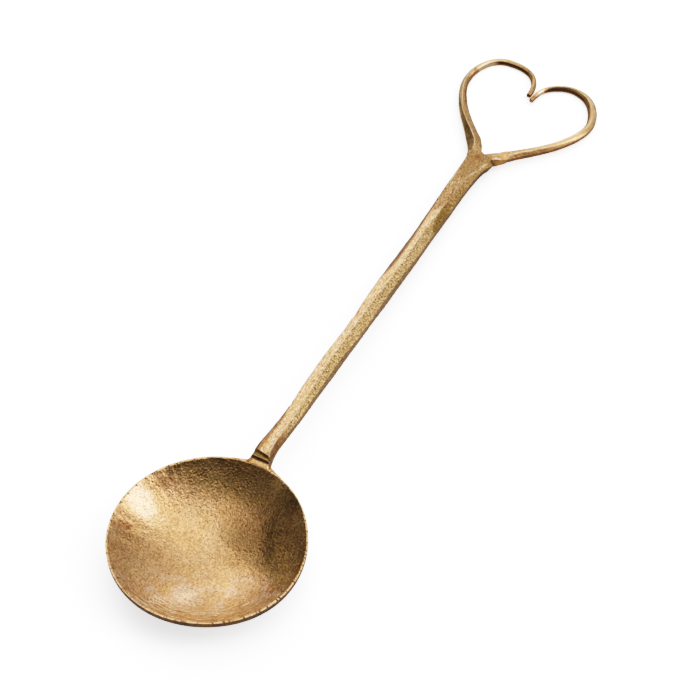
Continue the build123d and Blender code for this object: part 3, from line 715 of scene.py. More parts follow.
def arm_masks(co, out):
    """Brown, bright and dark parts of the two arms: partly tarnish and rust, partly painted shade and painted
    highlights.
    """
    here = co[:, 0] > 181.0
    c = co[here]
    sl, vl, hl, gl = arm_place(LEFT_ARM, LEFT_ROOT, c)
    sr, vr, hr, gr = arm_place(RIGHT_ARM, RIGHT_ROOT, c)
    on_left = gl < gr
    n1 = 0.12 * noise(c / 1.6, 191) + 0.08 * noise(c / 0.7, 192)
    # left arm: brown outer face as far as a bright ridge, brown inner edge, then a dark inner face round the lobe; the
    # brown is partly tarnish and partly painted shade, the ridge a painted highlight, the dark inner face painted shade
    ridge = np.interp(sl, [0, 2.8, 5, 8, 12, 17, 23, 29, 34], [0.3, 0.28, 0.12, 0.0, 0.1, 0.35, 0.62, 0.85, 1.0])
    brown_l = smooth(vl - ridge + n1, -0.02, 0.14) * smooth(sl, 2.5, 5) * (1 - smooth(sl, 24, 31)) * 0.05
    out["ease"] = smooth(vl - ridge + n1, -0.1, 0.1) * (1 - smooth(sl, 24, 31))
    glint_l = 0.65 * np.exp(-((vl - ridge + 0.08 + n1) / 0.075) ** 2) * smooth(sl, 3, 6) * (1 - smooth(sl, 14, 23))
    brown_l = np.maximum(brown_l, 0.55 * smooth(-vl, 0.1, 1.0) * smooth(sl, 2.5, 5) * (1 - smooth(sl, 11, 15)))
    brown_l = np.maximum(brown_l, 0.85 * smooth(-vl + n1, 0.38, 0.60) * smooth(sl, 20, 28) * (1 - smooth(sl, 43.5, 45.5)))
    brown_l = np.maximum(brown_l, 0.55 * smooth(vl + n1, 0.72, 0.95) * smooth(sl, 26, 32))
    brown_l = np.maximum(brown_l, 0.9 * np.exp(-((sl - 44.2) / 0.7) ** 2 - ((vl + 0.25) / 0.5) ** 2))
    glint_l = np.maximum(glint_l, 0.7 * smooth(-vl + n1, -0.1, 0.2) * (1 - smooth(-vl, 0.8, 1.0)) * smooth(sl, 44.8, 46) * (1 - smooth(sl, 51.5, 54.5)))
    glint_l = np.maximum(glint_l, 0.35 * np.exp(-((vl - 0.2 + n1) / 0.3) ** 2) * smooth(sl, 22, 26) * (1 - smooth(sl, 40, 44)))
    shade_l = smooth(sl, 52.0, 55.0)
    # right arm: brown lower face below a bright ridge, the same dark inner face round the lobe, a bright spot before
    # the tip; the brown is partly tarnish and partly painted shade, the ridge and the spot painted highlights, the dark
    # inner face painted shade
    edge = np.interp(sr, [0, 6, 14, 24, 32, 38], [-0.75, -0.5, -0.30, -0.35, -0.6, -1.0])
    brown_r = smooth(edge - vr + n1, -0.02, 0.15) * smooth(sr, 7, 10) * (1 - smooth(sr, 30, 38)) * 0.8
    brown_r = np.maximum(brown_r, 0.55 * smooth(-vr + n1, 0.75, 0.95) * smooth(sr, 34, 40))
    brown_r = np.maximum(brown_r, 0.7 * smooth(vr + n1, 0.82, 0.98) * smooth(sr, 5, 8) * (1 - smooth(sr, 33, 37)))
    brown_r = np.maximum(brown_r, 0.9 * smooth(vr + n1, 0.45, 0.62) * smooth(sr, 36, 41) * (1 - smooth(sr, 52, 56)))
    broken = smooth(noise(c / 1.1, 195), -0.5, 0.2)
    glint_r = 0.7 * np.exp(-((vr - edge - 0.12 + 0.6 * n1) / 0.12) ** 2) * smooth(sr, 6, 9) * (1 - smooth(sr, 33, 40)) * broken
    glint_r = np.maximum(glint_r, 0.45 * np.exp(-((vr + 0.2 + n1) / 0.3) ** 2) * smooth(sr, 38, 44) * (1 - smooth(sr, 54, 60)))
    glint_r = np.maximum(glint_r, 0.9 * smooth(vr + n1, -0.4, 0.1) * smooth(sr, 72.5, 73.5) * (1 - smooth(sr, 75, 76.3)))
    glint_r = np.maximum(glint_r, smooth(blob(c[:, 0], c[:, 1], 183.3, -7.35, 1.9, 0.60, -50), 0.1, 0.5) * smooth(hr, 0.2, 0.6))
    rust_r = smooth(blob(c[:, 0], c[:, 1], 186.3, -8.0, 2.4, 1.3, -48), 0.05, 0.5)
    rust_r = np.maximum(rust_r, 0.9 * smooth(blob(c[:, 0], c[:, 1], 183.4, -7.6, 3.2, 1.5, -50), 0.02, 0.3))
    shade_r = smooth(sr, 40.0, 44.0) * (1 - smooth(sr, 71.0, 73.5))
    low = smooth(-np.where(on_left, hl, hr), 0.1, 0.6)
    tips = smooth(sl, 73, 77), smooth(sr, 76.5, 78)
    brown_l, brown_r = np.maximum(brown_l, 0.5 * tips[0]), np.maximum(brown_r, 0.7 * tips[1])
    for key, l, r in (("ease", out["ease"], 0 * sl), ("brown", brown_l, brown_r), ("glint", glint_l, glint_r), ("rust", 0 * sl, rust_r), ("reach", shade_l, shade_r),
                      ("low", low, low)):
        v = np.zeros(len(co))
        v[here] = np.where(on_left, l, r)
        out[key] = v
    return out


def bar_masks(co, nrm):
    """The bar's finish and painted light at each point: grain (pitted skin), tarnish and painted shade (brown), green
    (raw yellow-green).
    """
    x, y, z = co.T
    order = np.linspace(26.1, 186.9, 1200)
    xs = np.clip(x, 26.1, 186.9)
    tab = shank_at(order)
    y2, y1, y0, y7, y6, zt, zb, dl, bd, er = [np.interp(xs, order, t) for t in tab]
    x, ly = layout(co)
    wob = 0.25 * fbm(co / 3.0, 2, 61)
    on_shank = 1 - smooth(x, 184.5, 188.5)
    up = smooth(nrm[:, 2], -0.2, 0.35)
    right_of_ridge = smooth(y0 + wob - y, -0.15, 0.35)
    left_strip = smooth(y - y1 + 1.15 * (1 - smooth(x, 40, 60)) + 0.45 * smooth(x, 112, 124) * (1 - smooth(x, 140, 158)) + 0.14 * noise(co / 0.9, 64), -0.05, 0.2)
    matte = smooth(x + 1.6 * (y - y0) - 0.0, 153, 159)
    grain = np.maximum(right_of_ridge * smooth(x, 36, 44), matte)
    grain = np.maximum(grain, 0.25)
    left_brown = left_strip * np.maximum(0.75 * smooth(x, 112, 121) * (1 - smooth(x, 160, 176)), 1 - smooth(x, 50, 60))
    askew = x + 0.2 * (0.1 - ly)
    neck = (1 - smooth(askew, 33.9, 34.15)) * smooth(x + 0.10 * noise(co / 1.2, 65), 31.35, 31.75)
    neck_side = smooth(y0 - 0.1 - y, 0, 0.3) * (1 - smooth(x, 40, 47))
    low = 1 - smooth(nrm[:, 2], -0.35, 0.25)
    hollow = smooth(y0 - 0.25 - y, 0, 0.35) * smooth(x - 2.5 * (ly + 3), 139, 146) * (1 - smooth(x + 1.5 * (ly + 3), 163, 174))
    fork = blob(co[:, 0], co[:, 1], 180.8, -1.3, 5.2, 1.7, -18) * 0.95 + blob(x, ly, 186.5, -2.6, 3.5, 1.8, -50) * 0.4
    strip = smooth(y7 + 0.35 - y, -0.05, 0.3) * up
    tarnish_and_shade = np.maximum.reduce([left_brown * 0.95, neck * 0.97, neck_side * 0.95, low * 0.8, fork])
    # arms: dark sides, bright tops
    # arms: painted shade darkens the side faces against the bright tops, together with tarnish
    out = {}
    arms = 1 - on_shank
    out["arm"] = arms
    side_face = 1 - smooth(nrm[:, 2], 0.30, 0.62)
    arm_masks(co, out)
    # tarnish and painted shade on the arms
    arm_tarnish_and_shade = np.clip(np.maximum(side_face * 0.8 * smooth(co[:, 0], 189, 196) * (1 - 0.8 * out.pop("ease")), out.pop("brown")) + 0.06 * fbm(co / 4.0, 2, 67), 0, 1)
    # painted shade: faces of the far lobes that look into the heart, towards the camera, are painted the darkest
    toward = -(nrm[:, 0] * AWAY.x + nrm[:, 1] * AWAY.y)
    out["dark"] = side_face * smooth(toward, 0.15, 0.6) * arms * out.pop("reach") * (1 - out["low"])
    # painted reflection: the lower part of the lobes' side faces is orange, where they mirror the floor
    out["low"] = out["low"] * side_face * smooth(x, 205, 216)
    slope = (1 - smooth(x, 30.7, 31.1)) * up
    out["slope"] = slope
    # painted highlight, partly bright worn metal: thin lines along the top's ridge and along the neck's crest
    out["arris_wear_and_highlight"] = np.exp(-((y - y0 + 0.06 + 0.12 * noise(co / 1.0, 68)) / 0.15) ** 2) * smooth(askew, 33.9, 34.6) * (1 - smooth(x, 150, 165)) * smooth(nrm[:, 2], 0.2, 0.6) \
        * np.maximum(0.85 * (1 - smooth(x, 38, 46)), smooth(noise(co / 0.8, 69), -0.30, 0.25) * 0.7)
    out["arris_wear_and_highlight"] = np.maximum(out["arris_wear_and_highlight"], 0.42 * np.exp(-((x - 32.42 + 0.05 * noise(co / 0.8, 70)) / 0.14) ** 2) * up)
    out["neck"] = neck * up
    # bright lines along both edges of the shank near the fork
    for (ax, ay), (bx, by), wide, a, gate in (((171.6, 2.22), (185.0, 3.02), 0.20, 0.8, (-9, -2, 10, 13)), ((171.3, -2.84), (179.1, -5.27), 0.36, 0.6, (-3, 0, 7, 9))):
        ln = math.hypot(bx - ax, by - ay)
        ux, uy = (bx - ax) / ln, (by - ay) / ln
        px, py = co[:, 0] - ax, co[:, 1] - ay
        st, dist = px * ux + py * uy, py * ux - px * uy
        line = a * np.exp(-((dist + 0.08 * noise(co / 1.1, 76)) / wide) ** 2) * smooth(st, *gate[:2]) * (1 - smooth(st, *gate[2:])) * smooth(noise(co / 0.7, 77), -0.7, 0.0)
        out["glint"] = np.maximum(out["glint"], line * up)
    # painted shade: the shank's rough back part and the area round the fork are darkened
    out["dusk_shade"] = np.clip(matte * 0.65 + 1.2 * blob(x, ly, 181.0, -1.5, 12.0, 7.5), 0, 1) * on_shank + 0.25 * arms * (1 - smooth(co[:, 0], 186, 196))
    out["tarnish_and_shade"] = np.clip(tarnish_and_shade * on_shank + arm_tarnish_and_shade * arms, 0, 1)
    out["grain"] = np.clip(grain * on_shank + arms * (0.30 + 0.4 * (1 - smooth(co[:, 0], 186, 196))), 0, 1)
    out["green"] = np.clip((right_of_ridge * 0.8 * smooth(x, 38, 46) * (1 - tarnish_and_shade)) * on_shank + arms * 0.35 * (1 - arm_tarnish_and_shade), 0, 1)
    pool = smooth(blob(co[:, 0], co[:, 1] + 0.12 * noise(co / 1.3, 78), 149.5, -3.05, 9.5, 1.75, 6), 0.0, 0.22) * up
    out["dark_gold"] = np.clip(np.maximum.reduce([hollow * 0.6, strip * 0.85, pool]) * on_shank, 0, 1)
    return out


def halfspace(a, b):
    """The vertical plane through two ground points: (point, normal to the left of a to b)."""
    d = (np.array(b) - np.array(a)) / math.dist(a, b)
    return (a[0] * MM, a[1] * MM, 0.0), (-d[1], d[0], 0.0)


def cut_copy(src, name, cuts):
    """A closed copy of src with everything in front of each cut plane removed; its flat caps are marked by material 1
    while their normals are set, then the mark is cleared.
    """
    bm = bmesh.new()
    bm.from_mesh(src.data)
    for point, normal in cuts:
        geom = list(bm.verts) + list(bm.edges) + list(bm.faces)
        cut = bmesh.ops.bisect_plane(bm, geom=geom, dist=1e-8, plane_co=point, plane_no=normal, clear_outer=True)
        edges = [e for e in cut["geom_cut"] if isinstance(e, bmesh.types.BMEdge)]
        made = bmesh.ops.triangle_fill(bm, edges=edges, use_beauty=True)
        for f in made["geom"]:
            if isinstance(f, bmesh.types.BMFace):
                f.material_index = 1
                f.smooth = False
    # only the largest joined shell is kept
    bm.verts.ensure_lookup_table()
    seen, best = set(), []
    for v in bm.verts:
        if v.index in seen:
            continue
        stack, shell = [v], []
        seen.add(v.index)
        while stack:
            q = stack.pop()
            shell.append(q)
            for e in q.link_edges:
                o = e.other_vert(q)
                if o.index not in seen:
                    seen.add(o.index)
                    stack.append(o)
        if len(shell) > len(best):
            best = shell
    keep = {v.index for v in best}
    bmesh.ops.delete(bm, geom=[v for v in bm.verts if v.index not in keep], context="VERTS")
    bmesh.ops.recalc_face_normals(bm, faces=bm.faces)
    me = bpy.data.meshes.new(name)
    bm.to_mesh(me)
    bm.free()
    ob = bpy.data.objects.new(name, me)
    bpy.context.scene.collection.objects.link(ob)
    # the skin keeps the whole bar's normals, so that the pieces meet without a seam
    keep_n = np.zeros(len(me.vertices) * 3)
    me.attributes["skin_normal"].data.foreach_get("vector", keep_n)
    keep_n = keep_n.reshape(-1, 3)
    loops = np.zeros(len(me.loops), np.int64)
    me.loops.foreach_get("vertex_index", loops)
    start = np.zeros(len(me.polygons), np.int64)
    total = np.zeros(len(me.polygons), np.int64)
    mat = np.zeros(len(me.polygons), np.int64)
    me.polygons.foreach_get("loop_start", start)
    me.polygons.foreach_get("loop_total", total)
    me.polygons.foreach_get("material_index", mat)
    fn = np.zeros(len(me.polygons) * 3)
    me.polygons.foreach_get("normal", fn)
    fn = fn.reshape(-1, 3)
    of = np.repeat(np.arange(len(total)), total)
    pos = np.zeros(len(me.loops), np.int64)
    pos[:] = np.concatenate([np.arange(s, s + t) for s, t in zip(start, total)])
    nn = np.zeros((len(me.loops), 3))
    cap = mat[of] == 1
    nn[pos] = np.where(cap[:, None], fn[of], keep_n[loops[pos]])
    me.normals_split_custom_set(nn.tolist())
    me.polygons.foreach_set("material_index", [0] * len(me.polygons))
    me.attributes.remove(me.attributes["skin_normal"])
    return ob


def under_bowl(co):
    """Points above the bowl's underside are set just inside its wall."""
    r = np.hypot(co[:, 0], co[:, 1])
    k = (r + 0.5) / np.maximum(r, 1e-6)
    lid = wall_height(co[:, 0] * k, co[:, 1] * k) + 0.1
    co = co.copy()
    co[:, 2] = np.minimum(co[:, 2], lid)
    return co


def layout(co):
    """Finish marks are laid out on a straight bar whose heart ends at X 234."""
    return co[:, 0] + 0.0213 * (co[:, 0] - 32), co[:, 1] + 0.00845 * (co[:, 0] - 32)


def make_bar():
    left_root, right_root = LEFT_ROOT, RIGHT_ROOT
    parts = [tube(clip_fork(shank_rings())), tube(arm_rings(LEFT_ARM, left_root, -1)), tube(arm_rings(RIGHT_ARM, right_root, 1))]
    V, F, base = [], [], 0
    for v, f in parts:
        V.append(v)
        F += [[i + base for i in q] for q in f]
        base += len(v)
    ob = new_mesh("split_bar", np.vstack(V), F)
    bm = bmesh.new()
    bm.from_mesh(ob.data)
    bmesh.ops.recalc_face_normals(bm, faces=bm.faces)
    bm.to_mesh(ob.data)
    bm.free()
    remesh(ob, 0.16)
    me = ob.data
    co = coords(me)
    edges = adjacency(me)
    co = relax(co, edges, 2)
    # the end stays outside the bowl's wall
    co = under_bowl(co)
    put(me, co)
    # hammered faces, the hollow near the fork and two nicks in the left edge
    nrm = normals(me)
    (x, y), z = layout(co), co[:, 2]
    # forged fillets where the arms leave the shank
    soft = smooth(blob(co[:, 0], co[:, 1], 184.2, -2.2, 4.6, 8.0, 12), 0.0, 0.35)
    co = relax(co, edges, 12, soft, 0.5)
    put(me, co)
    nrm = normals(me)
    d = 0.07 * noise(np.stack([x / 7.0, y / 3.0, z / 3.0], 1), 40) + 0.03 * noise(np.stack([x / 3.2, y / 1.8, z / 1.8], 1), 42)
    d *= 1 - 0.6 * (1 - smooth(x, 33.5, 36))
    d *= 1 - 0.45 * smooth(x, 190, 205)
    d -= 0.28 * blob(x, y, 152.5, -1.75, 12.0, 1.9, -3) * (nrm[:, 2] > 0.2)
    d -= 0.22 * blob(x, y, 56.0, 3.0, 1.6, 2.2) * (z > line_z(co[:, 0]) - 1)
    d -= 0.20 * blob(x, y, 99.0, 3.0, 2.2, 2.2) * (z > line_z(co[:, 0]) - 1)
    co = co + nrm * d[:, None]
    put(me, co)
    nrm = normals(me)
    m = bar_masks(co, nrm)
    x, y, z = co.T
    g = m["grain"]
    cell, _ = cells(co / 0.62, 77)
    cell2, _ = cells(co / 1.05 + 9.1, 79)
    pits = -0.080 * (1 - smooth(cell, 0.15, 0.55)) - 0.08 * (1 - smooth(cell2, 0.1, 0.5))
    bumps = 0.046 * fbm(co / 0.72, 3, 81, 0.65)
    streak = 0.034 * fbm(np.stack([x / 3.0, y / 0.55, z / 0.55], 1), 2, 85) + 0.020 * fbm(co / 0.9, 2, 86)
    small = 1 - 0.65 * smooth(co[:, 0], 186, 194)
    co = co + nrm * (((pits + bumps) * g + streak * (1 - g)) * small + 0.010 * fbm(co / 0.5, 2, 87))[:, None]
    co[:, 2] = np.maximum(co[:, 2], 0)
    put(me, co)
    for k, v in m.items():
        attribute(me, k, v)
    attribute(me, "pit", np.clip(((1 - smooth(cell, 0.12, 0.5)) + (1 - smooth(cell2, 0.1, 0.45))), 0, 1) * g)
    a = me.attributes.new("skin_normal", "FLOAT_VECTOR", "POINT")
    a.data.foreach_set("vector", normals(me).ravel())
    pa, na = halfspace(LEFT_CORNER, CROTCH)
    pb, nb = halfspace(CROTCH, RIGHT_CORNER)
    pm, nm = (CROTCH[0] * MM, CROTCH[1] * MM, 0.0), (0.09, 1.0, 0.0)
    flip = lambda n: tuple(-c for c in n)
    shank = cut_copy(ob, "shank_bar", [(pa, na), (pb, nb)])
    left = cut_copy(ob, "left_heart_arm", [(pa, flip(na)), (pm, flip(nm))])
    right = cut_copy(ob, "right_heart_arm", [(pb, flip(nb)), (pm, nm)])
    bpy.data.objects.remove(ob)
    return shank, left, right


BRAZE = [(-16.5, 0.30, 0.9), (-12.0, 0.75, 2.5), (-8.5, 1.60, 3.9), (-4.0, 2.4, 4.3), (0.0, 2.6, 4.3),
         (4.0, 2.3, 4.3), (8.0, 1.40, 3.9), (12.0, 0.70, 2.5), (16.5, 0.30, 0.9)]


def make_braze():
    B = np.array(BRAZE)
    deg = np.arange(-16.5, 16.51, 0.4)
    row = pchip(deg, B[:, 0], B[:, 1:])
    rings = []
    for a, (reach, depth) in zip(np.radians(deg), row):
        r = RIM_R + rim_wave(a)
        low = r * min(1.0, (min(1.0, (RIM_Z - depth + DIP) / (WALL_Z + DIP))) ** (1 / OUT_P))
        pts = np.array([(r - 0.5, RIM_Z - 0.25), (r + 0.35 * reach, RIM_Z - 0.25), (r + 0.8 * reach, RIM_Z - 0.3 * depth),
                        (r + 0.25 * reach, RIM_Z - 0.75 * depth), (low + 0.4, RIM_Z - depth), (low - 0.3, RIM_Z - depth + 0.2)])
        nxt = np.roll(pts, -1, 0)
        f = (np.arange(6) / 6)[None, :, None]
        q = (pts[:, None, :] * (1 - f) + nxt[:, None, :] * f).reshape(-1, 2)
        rings.append(np.stack([q[:, 0] * math.cos(a), q[:, 0] * math.sin(a), q[:, 1]], 1))
    v, f = tube(np.array(rings))
    ob = new_mesh("braze_fillet", v, f)
    bm = bmesh.new()
    bm.from_mesh(ob.data)
    bmesh.ops.recalc_face_normals(bm, faces=bm.faces)
    bm.to_mesh(ob.data)
    bm.free()
    remesh(ob, 0.16)
    me = ob.data
    co = relax(coords(me), adjacency(me), 3, np.ones(len(me.vertices)))
    put(me, co)
    return ob


# --------------------------------------------------------------- materials


class Nodes:
    def __init__(self, name):
        self.mat = bpy.data.materials.new(name)
        self.mat.use_nodes = True
        self.t = self.mat.node_tree
        self.t.nodes.clear()

    def add(self, kind, **inputs):
        n = self.t.nodes.new(kind)
        for k, v in inputs.items():
            if k in n.inputs:
                self.set(n.inputs[k], v)
            else:
                setattr(n, k, v)
        return n

    def set(self, socket, v):
        if isinstance(v, bpy.types.NodeSocket):
            self.t.links.new(v, socket)
        else:
            socket.default_value = v

    def noise(self, vec, scale, detail=2.0, rough=0.5, distort=0.0):
        return self.add("ShaderNodeTexNoise", Vector=vec, Scale=scale, Detail=detail, Roughness=rough, Distortion=distort).outputs[0]

    def math(self, op, a, b=0.0, c=0.0, clamp=False):
        n = self.t.nodes.new("ShaderNodeMath")
        n.operation = op
        n.use_clamp = clamp
        for i, v in enumerate((a, b, c)):
            self.set(n.inputs[i], v)
        return n.outputs[0]

    def span(self, v, a, b, lo=0.0, hi=1.0):
        """v between a and b, smoothly mapped to lo..hi."""
        n = self.t.nodes.new("ShaderNodeMapRange")
        n.interpolation_type = "SMOOTHSTEP"
        for k, q in zip((0, 1, 2, 3, 4), (v, a, b, lo, hi)):
            self.set(n.inputs[k], q)
        return n.outputs[0]

    def mix(self, fac, a, b, blend="MIX"):
        n = self.t.nodes.new("ShaderNodeMix")
        n.data_type = "RGBA"
        n.blend_type = blend
        n.clamp_factor = True
        self.set(n.inputs[0], fac)
        for s, v in ((n.inputs[6], a), (n.inputs[7], b)):
            self.set(s, (*v, 1.0) if isinstance(v, tuple) else v)
        return n.outputs[2]

    def attr(self, name):
        n = self.t.nodes.new("ShaderNodeAttribute")
        n.attribute_type = "GEOMETRY"
        n.attribute_name = name
        return n.outputs["Fac"]

    def finish(self, color, rough, metal, height, bump=1.0, distance=0.0001):
        b = self.add("ShaderNodeBump", Height=height, Strength=bump, Distance=distance)
        p = self.add("ShaderNodeBsdfPrincipled", Metallic=metal, Roughness=rough)
        self.set(p.inputs["Base Color"], color)
        self.set(p.inputs["Normal"], b.outputs[0])
        out = self.add("ShaderNodeOutputMaterial")
        self.t.links.new(p.outputs[0], out.inputs[0])
        return self.mat


CLEAN = (0.765, 0.455, 0.238)
ORANGE = (0.755, 0.430, 0.200)
PINK = (0.87, 0.615, 0.455)
GREEN = (0.66, 0.47, 0.215)
OLIVE = (0.400, 0.285, 0.108)
BROWN = (0.20, 0.090, 0.038)
DARK = (0.085, 0.045, 0.022)
NIGHT = (0.115, 0.085, 0.036)


def bowl_material():
    N = Nodes("bowl_brass")
    tc = N.add("ShaderNodeTexCoord").outputs["Object"]
    big = N.noise(tc, 110.0, 3.0, 0.55, 0.4)
    mid = N.noise(tc, 420.0, 3.0, 0.6, 0.6)
    fine = N.noise(tc, 1500.0, 3.0, 0.65, 0.3)
    tiny = N.noise(tc, 4200.0, 2.0, 0.6)
    col = N.mix(N.span(big, 0.38, 0.64), CLEAN, ORANGE)
    col = N.mix(N.math("MULTIPLY", N.span(mid, 0.48, 0.68), 0.12), col, GREEN)
    col = N.mix(N.math("MULTIPLY", N.attr("pink"), 0.60), col, PINK)
    # olive: partly olive skin, partly painted shade
    col = N.mix(N.math("MULTIPLY", N.attr("olive_and_shade"), N.span(mid, 0.2, 0.7, 0.25, 0.6)), col, OLIVE)
    grain = N.span(N.math("ADD", N.math("MULTIPLY", fine, 0.6), N.math("MULTIPLY", tiny, 0.4)), 0.37, 0.60, 0.52, 1.16)
    col = N.mix(1.0, col, N.add("ShaderNodeCombineColor", Red=grain, Green=grain, Blue=grain).outputs[0], "MULTIPLY")
    col = N.mix(N.math("MULTIPLY", N.attr("gold"), 0.45), col, (0.64, 0.47, 0.25))
    col = N.mix(N.math("MULTIPLY", N.attr("lines"), 0.6), col, (0.90, 0.68, 0.46))
    col = N.mix(N.math("MULTIPLY", N.attr("gaps"), 0.45), col, BROWN)
    # painted highlight: pale cream
    col = N.mix(N.math("MULTIPLY", N.attr("bright"), 0.6), col, (0.88, 0.64, 0.43))
    col = N.mix(N.math("MULTIPLY", N.attr("shade"), N.span(fine, 0.30, 0.66, 0.95, 0.6)), col, NIGHT)
    # painted light and shade multiplies the colour
    painted_light_and_shade = N.attr("painted_light_and_shade")
    col = N.mix(1.0, col, N.add("ShaderNodeCombineColor", Red=painted_light_and_shade, Green=painted_light_and_shade, Blue=painted_light_and_shade).outputs[0], "MULTIPLY")
    spots = N.math("MAXIMUM", N.math("MULTIPLY", N.attr("pit"), 0.5), N.math("MULTIPLY", N.attr("wrinkle"), 0.38))
    col = N.mix(spots, col, BROWN)
    brown = N.math("MULTIPLY", N.attr("brown"), N.span(fine, 0.30, 0.62, 1.0, 0.35))
    col = N.mix(brown, col, BROWN)
    col = N.mix(N.math("MULTIPLY", N.attr("skin"), N.span(mid, 0.35, 0.65, 0.95, 0.75)), col, (0.150, 0.092, 0.066))
    col = N.mix(N.math("MULTIPLY", N.attr("edge"), N.span(fine, 0.38, 0.60, 0.75, 0.1)), col, (0.74, 0.50, 0.28))
    col = N.mix(N.math("MULTIPLY", N.attr("edge"), N.span(N.noise(tc, 900.0, 2.0, 0.6), 0.56, 0.66, 0.0, 0.8)), col, BROWN)
    col = N.mix(N.math("MULTIPLY", N.attr("nick"), 0.6), col, DARK)
    rough = N.math("MULTIPLY_ADD", N.attr("bright"), -0.06, N.span(mid, 0.35, 0.68, 0.26, 0.35))
    rough = N.math("ADD", rough, N.math("MULTIPLY", N.math("MAXIMUM", N.attr("brown"), N.attr("skin")), 0.14))
    height = N.math("ADD", N.math("MULTIPLY", fine, 0.7), N.math("MULTIPLY", tiny, 0.3))
    return N.finish(col, rough, 1.0, height, 0.8, 0.00006)


def bar_material(name="bar_brass", braze=False):
    N = Nodes(name)
    tc = N.add("ShaderNodeTexCoord").outputs["Object"]
    big = N.noise(tc, 140.0, 3.0, 0.55, 0.4)
    mid = N.noise(tc, 520.0, 3.0, 0.6, 0.5)
    fine = N.noise(tc, 1900.0, 3.0, 0.65, 0.3)
    tiny = N.noise(tc, 4600.0, 2.0, 0.6)
    along = N.add("ShaderNodeMapping", Vector=tc, Scale=(0.07, 1.0, 1.0)).outputs[0]
    streak = N.noise(along, 1500.0, 3.0, 0.6)
    base = N.mix(N.span(big, 0.42, 0.62), (0.74, 0.45, 0.235), (0.70, 0.41, 0.190))
    if braze:
        col = N.mix(N.span(mid, 0.38, 0.62), (0.70, 0.42, 0.17), (0.44, 0.20, 0.07))
        speck = N.span(fine, 0.32, 0.60, 0.6, 1.05)
        col = N.mix(1.0, col, N.add("ShaderNodeCombineColor", Red=speck, Green=speck, Blue=speck).outputs[0], "MULTIPLY")
        rough = N.span(mid, 0.35, 0.68, 0.34, 0.46)
        height = N.math("ADD", N.math("MULTIPLY", fine, 0.7), N.math("MULTIPLY", tiny, 0.3))
        return N.finish(col, rough, 1.0, height, 0.9, 0.00008)
    grain, tarnish_and_shade, green, dgold, pit, dark, slope, arris_wear_and_highlight, dusk_shade, glint, rust, low, band = [N.attr(k) for k in (
        "grain", "tarnish_and_shade", "green", "dark_gold", "pit", "dark", "slope", "arris_wear_and_highlight", "dusk_shade", "glint", "rust", "low", "neck")]
    short = N.add("ShaderNodeMapping", Vector=tc, Scale=(0.38, 1.0, 1.0)).outputs[0]
    mottle_a, mottle_b = N.noise(short, 2000.0, 3.0, 0.6, 0.5), N.noise(short, 2700.0, 3.0, 0.6, 0.5)
    bare = N.math("MULTIPLY_ADD", grain, -0.6, 1.0)
    smear = N.math("MULTIPLY_ADD", N.attr("arm"), -0.62, 0.95)
    col = N.mix(N.math("MULTIPLY", N.span(streak, 0.44, 0.62), N.math("MULTIPLY", bare, 0.6)), base, (0.62, 0.35, 0.15))
    col = N.mix(N.math("MULTIPLY", N.span(mottle_a, 0.52, 0.62), N.math("MULTIPLY", bare, smear)), col, (0.31, 0.155, 0.060))
    col = N.mix(N.math("MULTIPLY", N.span(mottle_b, 0.54, 0.60), smear), col, (1.0, 0.80, 0.56))
    col = N.mix(N.math("MULTIPLY", green, N.span(mid, 0.25, 0.6, 0.35, 0.75)), col, GREEN)
    col = N.mix(N.math("MULTIPLY", dgold, 0.88), col, (0.25, 0.160, 0.052))
    speck = N.span(N.math("ADD", N.math("MULTIPLY", fine, 0.6), N.math("MULTIPLY", tiny, 0.4)), 0.37, 0.60, 0.34, 1.16)
    speck = N.math("ADD", N.math("MULTIPLY", speck, grain), N.math("MULTIPLY_ADD", grain, -1.0, 1.0))
    col = N.mix(1.0, col, N.add("ShaderNodeCombineColor", Red=speck, Green=speck, Blue=speck).outputs[0], "MULTIPLY")
    # painted shade darkens the fork area and the rough back part
    col = N.mix(N.math("MULTIPLY", dusk_shade, N.span(mid, 0.3, 0.7, 0.9, 0.6)), col, (0.28, 0.170, 0.065))
    col = N.mix(N.math("MULTIPLY", pit, 0.75), col, BROWN)
    brown = N.mix(N.span(mid, 0.40, 0.64), BROWN, (0.36, 0.18, 0.07))
    col = N.mix(N.math("MULTIPLY", slope, N.span(mid, 0.35, 0.65, 0.85, 0.35)), col, (0.52, 0.27, 0.10))
    # tarnish and painted shade: brown
    col = N.mix(N.math("MULTIPLY", tarnish_and_shade, N.span(fine, 0.3, 0.7, 1.0, 0.72)), col, brown)
    col = N.mix(N.math("MULTIPLY", band, 0.85), col, N.mix(N.span(mid, 0.42, 0.60), (0.19, 0.120, 0.045), (0.34, 0.200, 0.080)))
    col = N.mix(N.math("MULTIPLY", rust, 0.8), col, (0.66, 0.34, 0.14))
    # painted reflection of the floor along the lobes' lower edges
    col = N.mix(N.math("MULTIPLY", low, 0.6), col, (0.62, 0.33, 0.16))
    # painted shade on the far lobes' inner faces
    col = N.mix(N.math("MULTIPLY", dark, 0.9), col, DARK)
    col = N.mix(N.math("MULTIPLY", glint, 0.8), col, (1.0, 0.80, 0.55))
    # painted highlight and wear along the arrises
    col = N.mix(N.math("MULTIPLY", arris_wear_and_highlight, 0.85), col, (1.0, 0.80, 0.52))
    rough = N.math("ADD", N.span(mid, 0.35, 0.68, 0.27, 0.36), N.math("MULTIPLY", N.math("MAXIMUM", tarnish_and_shade, N.math("MULTIPLY", grain, 0.5)), 0.12))
    height = N.math("ADD", N.math("MULTIPLY", N.math("ADD", N.math("MULTIPLY", fine, 0.7), N.math("MULTIPLY", tiny, 0.3)), N.math("MULTIPLY_ADD", grain, 0.75, 0.25)),
                    N.math("MULTIPLY", streak, 0.12))
    return N.finish(col, rough, 1.0, height, 0.9, 0.00008)


